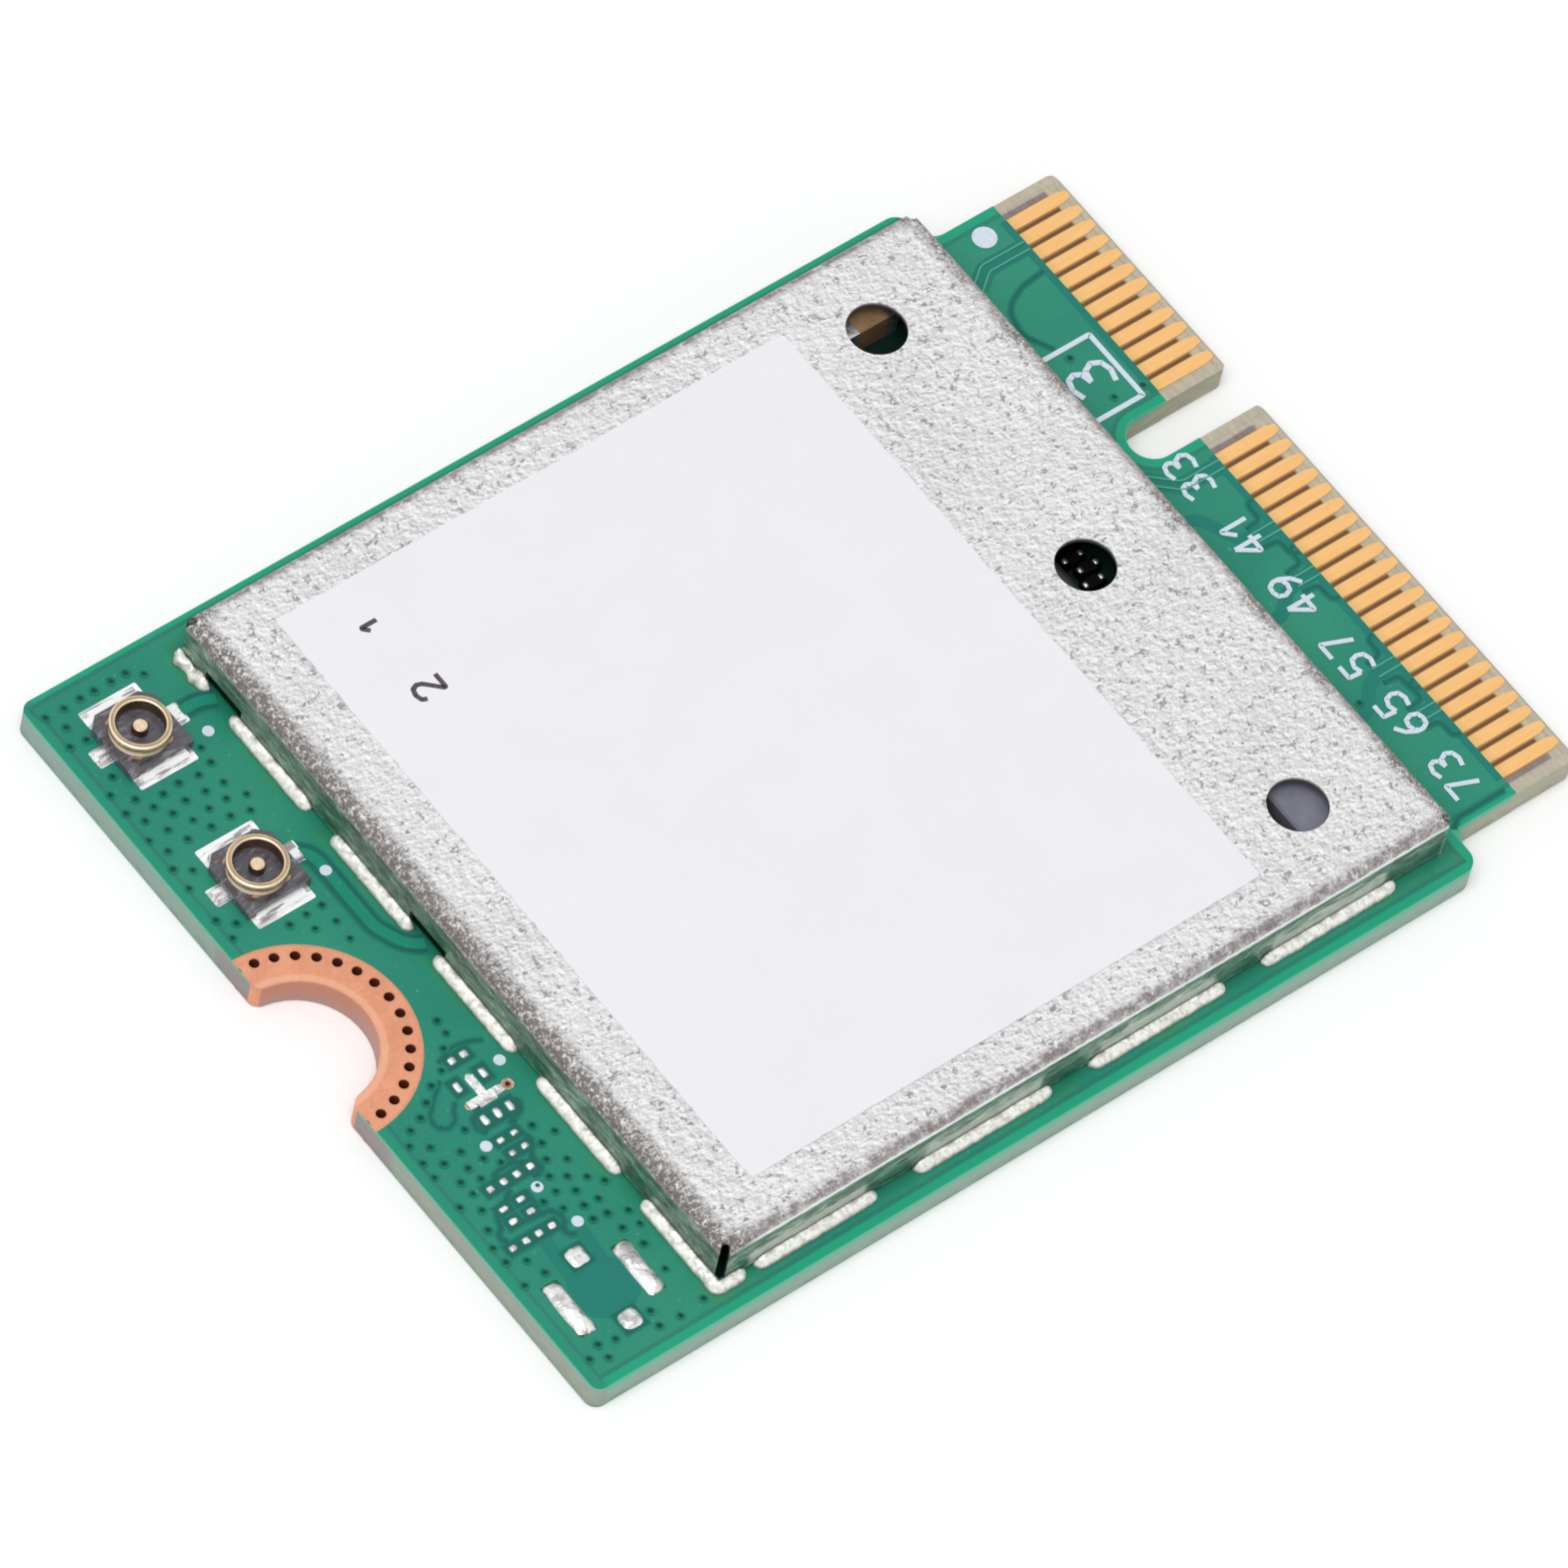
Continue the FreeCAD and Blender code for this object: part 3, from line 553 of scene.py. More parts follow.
    def paint(self, graph: Graph, at: Place) -> None:
        """Fills the material's tree."""
        fine = at.noise(14.0, 3.0, 0.6)
        relief = graph.bump(at.noise(1.4) * 0.8 + fine * 0.2, 0.010)
        roughness = 0.30 + 0.16 * at.noise(3.0, 3.0)
        gloss = 0.12
        if self.part is CoatPart.BOARD:
            colour = self.board(graph, at)
            from_middle = abs(at.z - self.outline.middle_z)
            coated = (from_middle > self.outline.coat_from_middle) * (at.x < self.outline.bare_x)
            relief = graph.bump(self.outline.inset(at).step(0.22, 0.29), 0.020, relief)
            roughness = self.rough - coated * (self.rough - roughness)
            gloss = 0.28
        elif self.part is CoatPart.COVERED_VIA:
            mark = graph.node("ShaderNodeAttribute", {"attribute_name": DOT_REACH})
            reach = graph.take(mark, "Fac")
            colour = graph.layers(self.coat(graph, at), (reach.fall(0.15, 1.0), self.via))
            relief = graph.bump(reach, 0.045, relief)
        else:
            first, second = {CoatPart.CLEARANCE: (self.clear, self.rim),
                             CoatPart.OUTLINE: (self.rim, self.clear),
                             CoatPart.TRACK: (None, self.band),
                             CoatPart.FINE_TRACK: (self.pale, self.band)}[self.part]
            colour = graph.layers(first or self.coat(graph, at), (fine * 0.3, second))
        graph.surface(base_color=colour, roughness=roughness, specular_ior_level=gloss,
                      normal=relief)


@dataclass(frozen=True)
class ContactGold(Finish):
    """Gold plate on the edge contacts, duller at their roots and rubbed along their length."""

    gold: Colour = (0.88, 0.51, 0.195)
    pale: Colour = (0.93, 0.58, 0.26)
    olive: Colour = (0.50, 0.36, 0.12)
    root: Point = (13.12, 13.40)

    def paint(self, graph: Graph, at: Place) -> None:
        """Fills the material's tree."""
        rub = at.drawn(1.2, 16.0, 4.0).noise(1.0, 3.0, 0.6)
        spots = at.noise(5.0, 3.0, 0.65)
        edge = at.y.beside(CONTACT_PITCH).fall(0.0775, 0.1075)
        colour = graph.layers(
            self.gold,
            (rub.step(0.35, 0.7) * 0.6, self.pale),
            (at.x.fall(*self.root) * (0.30 + 0.5 * edge), self.olive),
            (edge * 0.30, self.olive),
            (spots.step(0.60, 0.74) * 0.22, self.olive))
        relief = graph.bump(rub * 0.6 + spots * 0.4, 0.006)
        graph.surface(base_color=colour, metallic=1.0, roughness=0.26 + 0.22 * spots, normal=relief)


@dataclass(frozen=True)
class LandCopper(Finish):
    """Plated copper round the screw notch."""

    copper: Colour = (0.80, 0.35, 0.20)
    deep: Colour = (0.60, 0.24, 0.135)
    # The copper's lighter grain, and the painted highlight on the inner rim.
    rim: Colour = (0.90, 0.50, 0.34)
    wall: Colour = (0.52, 0.22, 0.150)
    wall_foot: Colour = (0.40, 0.275, 0.265)
    # Painted shade inside the plated holes, over a dark copper tone.
    hole: Colour = (0.15, 0.04, 0.024)
    notch: float = 1.75
    land: float = 2.75
    holes: LandHoles = LandHoles()

    def paint(self, graph: Graph, at: Place) -> None:
        """Fills the material's tree."""
        reach = at.reach(self.holes.centre)
        from_hole = self.holes.distance(at)
        radius = self.holes.radius
        cloud = at.noise(1.6, 3.0, 0.6)
        grain = at.noise(12.0, 3.0, 0.6)
        inner_rim_highlight = reach.line(self.notch + 0.10, 0.12) * (at.z > 0.77)
        wall = reach.fall(self.notch + 0.02, self.notch + 0.05) * at.z.fall(0.74, COAT_Z)
        foot = (at.z + (cloud - 0.5) * 0.9).fall(0.10, 0.55) * 0.8
        colour = graph.layers(
            self.copper,
            (cloud.step(0.3, 0.7) * 0.5, self.deep),
            (grain.step(0.45, 0.8) * 0.35, self.rim),
            (grain.fall(0.30, 0.44) * 0.40, self.deep),
            (from_hole.fall(radius, radius + 0.07) * 0.45, self.deep),
            (reach.step(self.land - 0.09, self.land - 0.01) * 0.5, self.deep),
            # A painted highlight on the rounded inner rim.
            (inner_rim_highlight * 0.5, self.rim),
            (wall * (0.80 + 0.20 * grain), graph.layers(self.wall, (foot, self.wall_foot))),
            # Painted shade inside the plated holes, over a dark copper tone.
            (from_hole.fall(radius - 0.012, radius + 0.006), self.hole))
        relief = graph.bump(cloud * 0.5 + grain * 0.5, 0.010)
        graph.surface(base_color=colour, metallic=0.45, roughness=0.36 + 0.2 * cloud, normal=relief)


@dataclass(frozen=True)
class Tin(Finish):
    """Bright tin or solder: lumpy, with dull patches and a brown line of flux at its foot."""

    bright: Colour = (0.86, 0.86, 0.86)
    dull: Colour = (0.50, 0.50, 0.50)
    flux: Colour = (0.34, 0.27, 0.20)
    foot_z: float = COAT_Z
    lump: float = 0.035
    grain: float = 6.0
    stretch: Colour = (1.0, 1.0, 1.0)

    def paint(self, graph: Graph, at: Place) -> None:
        """Fills the material's tree."""
        drawn = at.drawn(*self.stretch)
        lumps = drawn.noise(self.grain * 0.5)
        grain = drawn.noise(self.grain * 2.0, 3.0, 0.6)
        foot = at.z.fall(self.foot_z + 0.005, self.foot_z + 0.035)
        colour = self.tinted(graph, at, graph.layers(
            self.bright,
            (lumps.step(0.46, 0.66) * 0.65, self.dull),
            (grain.step(0.58, 0.75) * 0.45, self.dull),
            (foot * grain.step(0.30, 0.60) * 0.7, self.flux)))
        relief = graph.bump(grain, self.lump * 0.25, graph.bump(lumps, self.lump))
        graph.surface(base_color=colour, metallic=0.92, roughness=0.20 + 0.30 * grain,
                      normal=relief)


@dataclass(frozen=True)
class ChipEnds(Tin):
    """Tin on the chips' ends, with painted deep shade below the middle hole."""

    # Painted deep shade below the middle hole.
    shade: Colour = (0.006, 0.007, 0.007)

    def tinted(self, graph: Graph, at: Place, colour: Wire) -> Wire:
        """The colour with the painted shade."""
        return graph.layers(colour, (at.below_hole(), self.shade))


@dataclass(frozen=True)
class SolderedCopper(Tin):
    """Solder that leaves copper bare in places, as on the ringed hole."""

    strip_end: Point = (-12.92, -3.364)
    limits: Point = (0.102, 0.187)
    copper: Colour = (0.60, 0.24, 0.12)

    def tinted(self, graph: Graph, at: Place, colour: Wire) -> Wire:
        """The colour with copper on the ring and at the strip's end."""
        return graph.layers(colour, *(
            (at.reach(centre).fall(*self.limits) * share, self.copper)
            for centre, share in ((TEE_RING, 0.85), (self.strip_end, 0.60))))


@dataclass(frozen=True)
class ShieldMetal(Finish):
    """Matt tinned sheet: finely pitted on top, stained and scuffed along the bends, with painted
    light, shade and reflections.
    """

    # Painted light and shade of the top's relief mix these two.
    light: Colour = (0.90, 0.90, 0.905)
    shade: Colour = (0.33, 0.325, 0.335)
    # Painted shade in the pits.
    pit: Colour = (0.25, 0.235, 0.23)
    stain: Colour = (0.140, 0.116, 0.102)
    # Blotchy and darker near the top's edges.
    soft_stain: Colour = (0.30, 0.258, 0.256)
    # Painted shade along the bends.
    crease: Colour = (0.175, 0.142, 0.148)
    wall: Colour = (0.40, 0.475, 0.40)
    # Painted light on the long walls.
    lit_wall: Colour = (0.46, 0.56, 0.49)
    # Painted reflection of the solder beads in the long walls.
    smear: Colour = (0.80, 0.80, 0.70)
    # Painted streaks of shade on the walls.
    wall_shade: Colour = (0.11, 0.135, 0.11)
    # Painted reflection of the green board in the walls.
    mirrored: Colour = (0.06, 0.24, 0.16)
    # Painted glints on the top and on the walls.
    glint: Colour = (0.90, 0.90, 0.88)
    # A painted highlight where the bends turn into the walls.
    ridge: Colour = (0.98, 0.98, 0.97)
    # Painted shade inside the can.
    inner: Colour = (0.10, 0.10, 0.10)
    # Nearly black by the corner slits.
    soot: Colour = (0.012, 0.007, 0.006)
    top: float = 2.20
    sheet: float = 0.15
    end_zone: Point = (0.4, 1.3)
    bend: Point = (0.26, 0.34)
    long_wall: Point = (10.15, 10.22)
    foot_middle: float = 1.875
    foot_pitch: float = 5.15
    foot_side: Point = (1.60, 1.80)

    def walls(self, graph: Graph, at: Place, long_wall: Wire, smear: Wire, streak: Wire,
              mottle: Wire) -> Wire:
        """The four walls, with painted reflections of the board below and of the solder on it,
        painted light on the long walls, and painted streaks of shade and glints.
        """
        return graph.layers(
            self.wall,
            (long_wall, self.lit_wall),
            (streak.step(0.42, 0.62) * 0.74, self.wall_shade),
            (streak.fall(0.34, 0.41) * 0.7, self.glint),
            (at.z.fall(1.10, 1.62) * (0.38 + 0.20 * long_wall), self.mirrored),
            (long_wall * at.z.line(1.78, 0.10) * 0.55, self.mirrored),
            (smear * (0.35 + 0.45 * mottle), self.smear),
            (at.z.line(1.00, 0.05) * streak.step(0.35, 0.55) * 0.5, self.wall_shade),
            (at.z.line(0.89, 0.05) * streak.fall(0.45, 0.60) * 0.7, self.glint))

    def paint(self, graph: Graph, at: Place) -> None:
        """Fills the material's tree."""
        inset = at.inside(CAN_LOW_X, CAN_HIGH_X, CAN_HALF_Y)
        down = self.top - at.z
        walls = down.step(*self.bend)
        sheet = at.drawn(0.8, 1.2, 1.0)
        wide = at.noise(0.40)
        hollow = sheet.noise(3.2, 3.0, 0.62)
        speck = at.noise(7.0, 3.0, 0.70)
        mottle = at.noise(15.0, 2.0, 0.6)
        blotch = at.noise(3.4, 4.0, 0.7)
        streak = at.drawn(1.7, 1.7, 6.0).noise(1.0, 4.0, 0.66)
        worn_patch = 0.30 + 0.70 * wide.step(0.42, 0.58)
        tongue_end = (CAN_HIGH_X - at.x).fall(*self.end_zone) * worn_patch
        rubbed = (at.x - CAN_LOW_X).fall(*self.end_zone).high(tongue_end)
        side = 1 - rubbed
        wear = (inset / (0.34 + 0.30 * rubbed)).fall(0.20, 1.0) * rubbed
        # The share of the light colour: painted light and shade of the sheet's fine relief.
        painted_lit_share = (0.68 + sheet.carved(4.6, 0.055, 4.0, 0.66) * 2.0
                        + at.carved(10.0, 0.030, 2.0) * 1.3 + (wide - 0.5) * 0.25)
        stroke = abs(hollow - 0.5).fall(0.018, 0.050) * at.noise(3.6).step(0.56, 0.63)
        stain = (wear * (0.84 + (speck - 0.5) * 3.6 + (mottle - 0.5) * 3.4)).low(0.94).high(0.0)
        # Blotchy darker patches near the top's edges, away from the ends.
        soft = inset.fall(0.18, 0.42) * side * blotch.step(0.36, 0.62)
        broken = (0.62 + (blotch - 0.5) * 2.2 + (mottle - 0.5) * 2.6).low(1.0).high(0.0)
        long_wall = abs(at.y).step(*self.long_wall)
        from_foot = at.x.beside(self.foot_pitch, self.foot_middle)
        above_beads = (at.z + (streak - 0.5) * 0.9).fall(1.35, 1.62)
        # Where the painted reflection of the solder beads shows on the long walls.
        smear = long_wall * from_foot.fall(*self.foot_side) * above_beads
        # A painted highlight where the bend turns into the wall.
        ridge = ((down + (speck - 0.5) * 0.10).line(0.265, 0.075)
                 * (1 - rubbed * (0.70 + 0.30 * mottle)))
        # Nearly black at the -X ends of the long walls, by the corner slits.
        soot = (at.x - CAN_LOW_X).fall(0.15, 0.20) * long_wall * down.step(0.10, 0.16)
        # Painted shade on the can's inner faces and on the lower part of its holes' cut edges.
        inside = (inset > self.sheet * 0.75) * (at.z < self.top - self.sheet * 0.9)
        cut = (inset > 0.5) * at.z.fall(self.top - 0.075, self.top - 0.045)
        colour = graph.layers(
            self.shade,
            (painted_lit_share, self.light),
            # Painted shade in the pits, and painted glints beside them.
            (stroke * 0.85, self.pit),
            (hollow.step(0.65, 0.69) * 0.85, self.pit),
            (hollow.fall(0.30, 0.36) * 0.6, self.glint),
            (stain, self.stain),
            (soft * 0.66, self.soft_stain),
            # Painted shade along the bends, and over the top where it turns down into them.
            (inset.line(0.13, 0.13) * side * broken * 0.80, self.crease),
            (down.step(0.03, 0.10) * (1 - walls) * 0.14, self.stain),
            (walls, self.walls(graph, at, long_wall, smear, streak, mottle)),
            (ridge, self.ridge),
            (soot * 0.95, self.soot),
            (inside, self.inner),
            (cut, self.inner))
        graph.surface(base_color=colour,
                      metallic=(0.25 + 0.55 * walls) * (1 - ridge.high(smear * 0.7)),
                      roughness=0.28 + 0.24 * (1 - walls) + 0.12 * speck,
                      normal=graph.bump(speck, 0.015, graph.bump(hollow, 0.050)))


@dataclass(frozen=True)
class SolderSkin(Finish):
    """Solder along the can's feet: speckled cream on top with painted relief light and shade, olive
    flux at both edges, painted shade by the wall.
    """

    cream: Colour = (0.98, 0.975, 0.94)
    # Darker specks, also the painted shade of the skin's relief.
    speck: Colour = (0.42, 0.41, 0.36)
    # Darker brown along the wall side.
    crust: Colour = (0.20, 0.17, 0.12)
    flux: Colour = (0.15, 0.18, 0.07)
    # Painted shade in the crevice along the wall.
    crease: Colour = (0.07, 0.09, 0.05)
    width: float = 0.26

    def paint(self, graph: Graph, at: Place) -> None:
        """Fills the material's tree."""
        out = 0 - at.inside(CAN_LOW_X, CAN_HIGH_X, CAN_HALF_Y)
        carved = at.carved(4.2, 0.060, 3.0, 0.6)
        grain = at.noise(11.0, 3.0, 0.65)
        lumps = at.noise(3.0, 3.0, 0.6)
        foot = at.z.fall(COAT_Z + 0.015, COAT_Z + 0.10)
        colour = graph.layers(
            self.cream,
            # Painted light and shade of the skin's relief, with darker specks.
            (0.16 - carved * 2.4 + grain.step(0.54, 0.74) * 0.40, self.speck),
            # Darker brown patches along the wall side.
            (out.fall(0.03, 0.17) * lumps.step(0.46, 0.58) * 0.55, self.crust),
            # Painted shade in the crevice where the solder meets the wall.
            (out.fall(0.01, 0.055) * 0.75, self.crease),
            (out.step(self.width - 0.055, self.width + 0.01) * 0.45, self.flux),
            (foot * (0.45 + 0.5 * grain), self.flux))
        graph.surface(base_color=colour, metallic=0.25, roughness=0.24 + 0.3 * grain,
                      normal=graph.bump(lumps, 0.050))


@dataclass(frozen=True)
class LabelPaper(Finish):
    """Blank matt label stock, with a dusty rim."""

    paper: Colour = (0.862, 0.854, 0.892)
    shade: Colour = (0.815, 0.807, 0.850)
    dust: Colour = (0.40, 0.33, 0.24)
    area: Colour = (-9.27, 5.75, 9.02)

    def paint(self, graph: Graph, at: Place) -> None:
        """Fills the material's tree."""
        fibre = at.noise(9.0, 4.0, 0.6)
        cloud = at.noise(0.5, 3.0)
        dusty = at.inside(*self.area).fall(0.0, 0.05) * at.noise(3.0, 3.0).step(0.50, 0.72)
        colour = graph.layers(
            self.paper,
            (cloud.step(0.3, 0.7) * 0.35 + fibre.step(0.45, 0.8) * 0.3, self.shade),
            (dusty * 0.55, self.dust))
        graph.surface(base_color=colour, roughness=0.62 + 0.14 * fibre,
                      normal=graph.bump(fibre, 0.004))


@dataclass(frozen=True)
class Ink(Finish):
    """Printing ink, slightly broken where it lies thin."""

    ink: Colour = (0.69, 0.76, 0.87)
    thin: Colour = (0.48, 0.62, 0.68)

    def paint(self, graph: Graph, at: Place) -> None:
        """Fills the material's tree."""
        break_up = at.noise(14.0, 3.0, 0.6)
        colour = graph.layers(self.ink, (break_up.step(0.45, 0.75) * 0.6, self.thin))
        graph.surface(base_color=colour, roughness=0.50 + 0.2 * break_up,
                      normal=graph.bump(break_up, 0.005))


@dataclass(frozen=True)
class ReceptacleGold(Finish):
    """Thin gold on an antenna receptacle: painted highlights on its rim and outer wall, painted
    shade in its bore and groove, tin on its feet.
    """

    centre: Point = (0.0, 0.0)
    gold: Colour = (0.52, 0.37, 0.21)
    # Also the colour of painted highlights.
    worn: Colour = (0.97, 0.83, 0.62)
    # Also the colour of painted shade.
    dark: Colour = (0.14, 0.088, 0.052)
    bronze: Colour = (0.80, 0.60, 0.42)
    tin: Colour = (0.92, 0.92, 0.92)
    tin_shade: Colour = (0.16, 0.155, 0.16)
    bore: float = 0.60
    lip: float = 0.75
    pin: Point = (0.24, 0.26)
    pin_edge: Point = (0.13, 0.20)
    top: float = 1.42
    foot_top: float = 0.93

    def paint(self, graph: Graph, at: Place) -> None:
        """Fills the material's tree."""
        reach = at.reach(self.centre)
        grain = at.noise(10.0, 3.0, 0.6)
        patch = at.noise(3.0, 3.0, 0.6)
        drawn = at.drawn(1.3, 10.0, 4.0).noise(1.0, 3.0, 0.6)
        rim = at.z.step(self.top - 0.05, self.top - 0.02)
        in_bore = reach.fall(self.bore - 0.005, self.bore + 0.01) * (1 - rim)
        pin = reach.fall(*self.pin)
        feet = reach.step(self.lip + 0.01, self.lip + 0.06)
        outer = reach.step(self.bore + 0.05, self.bore + 0.08) * (1 - rim)
        edges = reach.line(self.lip - 0.02, 0.035).high(reach.line(self.bore + 0.012, 0.030) * 0.8)
        lit_edges = rim.high(outer * at.z.step(1.34, 1.37)) * edges
        colour = graph.layers(
            self.gold,
            (patch.step(0.38, 0.66) * 0.6, self.dark),
            # A painted highlight band low on the outer wall.
            (outer * at.z.line(1.14, 0.09), self.worn),
            # Painted shadow in the groove under the lip, and painted shade low on the outer wall.
            (outer * at.z.line(1.250, 0.035) * 0.7, self.dark),
            (outer * at.z.fall(1.02, 1.07) * 0.6, self.dark),
            (rim * patch.step(0.42, 0.60) * 0.6, self.gold),
            # Painted highlights on the rim's edges.
            (lit_edges * (0.6 + 0.4 * grain), self.worn),
            # Painted shade in the bore.
            (in_bore * (1 - pin) * 0.8, self.dark),
            (pin, graph.layers(self.bronze, (grain.step(0.45, 0.65) * 0.5, self.worn))),
            # Painted shade round the pin's edge.
            (pin * reach.step(*self.pin_edge), self.dark),
            (feet, graph.layers(self.tin, (drawn.step(0.50, 0.60) * 0.8, self.tin_shade))),
            (feet * at.z.step(self.foot_top, self.foot_top + 0.05), self.dark))
        relief = graph.bump(grain * 0.4 + patch * 0.6, 0.012)
        graph.surface(base_color=colour, metallic=0.95 - 0.40 * outer,
                      roughness=0.22 + 0.2 * grain, normal=relief)


@dataclass(frozen=True)
class Moulded(Finish):
    """Matt moulded plastic or fired ceramic with a fine grain and lighter patches."""

    body: Colour = (0.05, 0.05, 0.055)
    worn: Colour = (0.10, 0.10, 0.105)
    rough: float = 0.55
    grain: float = 16.0
    grain_share: float = 0.35
    depth: float = 0.008
    cloud: float = 1.2
    cloud_share: float = 0.55
    gloss: float = 0.5

    def paint(self, graph: Graph, at: Place) -> None:
        """Fills the material's tree."""
        grain = at.noise(self.grain, 3.0, 0.6)
        cloud = at.noise(self.cloud, 3.0, 0.6).step(0.30, 0.75)
        worn = cloud * self.cloud_share + grain.step(0.50, 0.80) * self.grain_share
        colour = self.tinted(graph, at, graph.layers(self.body, (worn, self.worn)))
        graph.surface(base_color=colour, roughness=self.rough + 0.15 * grain,
                      specular_ior_level=self.gloss, normal=graph.bump(grain, self.depth))


@dataclass(frozen=True)
class GlossyMoulding(Moulded):
    """Glossy dark moulding with painted pale streaks of reflection and painted dark streaks of
    shade along its length.
    """

    # Painted pale streaks of reflection.
    scuff: Colour = (0.36, 0.37, 0.42)
    # Painted dark streaks of shade.
    shade: Colour = (0.02, 0.018, 0.022)

    def paint(self, graph: Graph, at: Place) -> None:
        """Fills the material's tree."""
        grain = at.noise(self.grain, 3.0, 0.6)
        drawn = at.drawn(2.0, 7.0, 5.0).noise(1.0, 4.0, 0.65)
        colour = graph.layers(
            self.body,
            (grain.step(0.40, 0.75) * 0.5, self.worn),
            # Painted pale streaks of reflection, and painted dark streaks of shade.
            (drawn.step(0.54, 0.66) * 0.45, self.scuff),
            (drawn.fall(0.36, 0.44) * 0.7, self.shade))
        graph.surface(base_color=colour, roughness=self.rough + 0.15 * grain, coat_weight=0.35,
                      normal=graph.bump(drawn, 0.012))


@dataclass(frozen=True)
class CapacitorCeramic(Moulded):
    """Tan capacitor bodies, painted nearly black with deep shade in the bank below the middle hole.
    """

    # Painted deep shade below the middle hole.
    dark: Colour = (0.004, 0.004, 0.004)

    def tinted(self, graph: Graph, at: Place, colour: Wire) -> Wire:
        """The colour with the painted shade over the bank."""
        return graph.layers(colour, (at.below_hole(), self.dark))


@dataclass(frozen=True)
class PlateMetal(Finish):
    """Nickel-plated lid with a brushed grain."""

    plate: Colour = (0.66, 0.65, 0.62)
    dull: Colour = (0.42, 0.41, 0.39)

    def paint(self, graph: Graph, at: Place) -> None:
        """Fills the material's tree."""
        brush = at.drawn(2.0, 30.0, 2.0).noise(1.0, 3.0, 0.6)
        colour = graph.layers(self.plate, (brush.step(0.40, 0.70) * 0.6, self.dull))
        graph.surface(base_color=colour, metallic=1.0, roughness=0.25 + 0.2 * brush,
                      normal=graph.bump(brush, 0.004))


class Bench:
    """Makes objects in millimetres and sets them down in metres, as plain meshes on the card."""

    @staticmethod
    def blank(name: str, data: bpy.types.ID) -> bpy.types.Object:
        """An object for a mesh, a lamp or a lens, in the scene."""
        thing = bpy.data.objects.new(name, data)
        bpy.context.scene.collection.objects.link(thing)
        return thing

    @staticmethod
    def mesh(name: str, points: Sequence, edges: Sequence = (),
             faces: Sequence = ()) -> bpy.types.Mesh:
        """A mesh from its points, edges and faces."""
        mesh = bpy.data.meshes.new(name)
        mesh.from_pydata(points, edges, faces)
        return mesh

    @staticmethod
    def packed(frame: dict, node: str) -> bmesh.types.BMesh:
        """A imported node's shape, in millimetres."""
        shape = bmesh.new()
        shape.from_mesh(frame["nodes"][node].data)
        shape.transform(Matrix.Scale(1 / MM, 4))
        return shape

    @staticmethod
    def shaped(name: str, shape: bmesh.types.BMesh) -> bpy.types.Object:
        """An object from a shape, which goes."""
        mesh = bpy.data.meshes.new(name)
        shape.to_mesh(mesh)
        shape.free()
        return Bench.blank(name, mesh)

    @staticmethod
    def applied(source: bpy.types.Object, name: str) -> bpy.types.Object:
        """The source with its modifiers applied, as a new object; the source goes.

        Args:
            source: the object with live modifiers.
            name: the new object's name.

        Returns:
            A plain mesh object.
        """
        graph = bpy.context.evaluated_depsgraph_get()
        mesh = bpy.data.meshes.new_from_object(
            source.evaluated_get(graph), preserve_all_data_layers=True, depsgraph=graph)
        mesh.name = name
        bpy.data.objects.remove(source)
        return Bench.blank(name, mesh)

    @staticmethod
    def settle(thing: bpy.types.Object, slot: Slot, finish: Finish | None = None) -> None:
        """Turns millimetres to metres and hangs the piece on the card.

        Args:
            thing: the finished piece, in millimetres.
            slot: the record's slot for its finish; not used.
            finish: its finish, where the mesh has no material yet.
        """
        thing.data.transform(Matrix.Scale(MM, 4))
        if finish is not None:
            thing.data.materials.clear()
            thing.data.materials.append(finish.material())
        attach(thing, BODY)
        LOG.info("%s: %d faces", thing.name, len(thing.data.polygons))

    @staticmethod
    def dress(frame: dict, finish: Finish, *nodes: str) -> None:
        """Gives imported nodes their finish, with their meshes left alone."""
        material = finish.material()
        for name in nodes:
            node = frame["nodes"][name]
            for slot in node.material_slots:
                slot.link = "DATA"
            node.data.materials.clear()
            node.data.materials.append(material)
            LOG.info("%s: %s", name, finish.name)


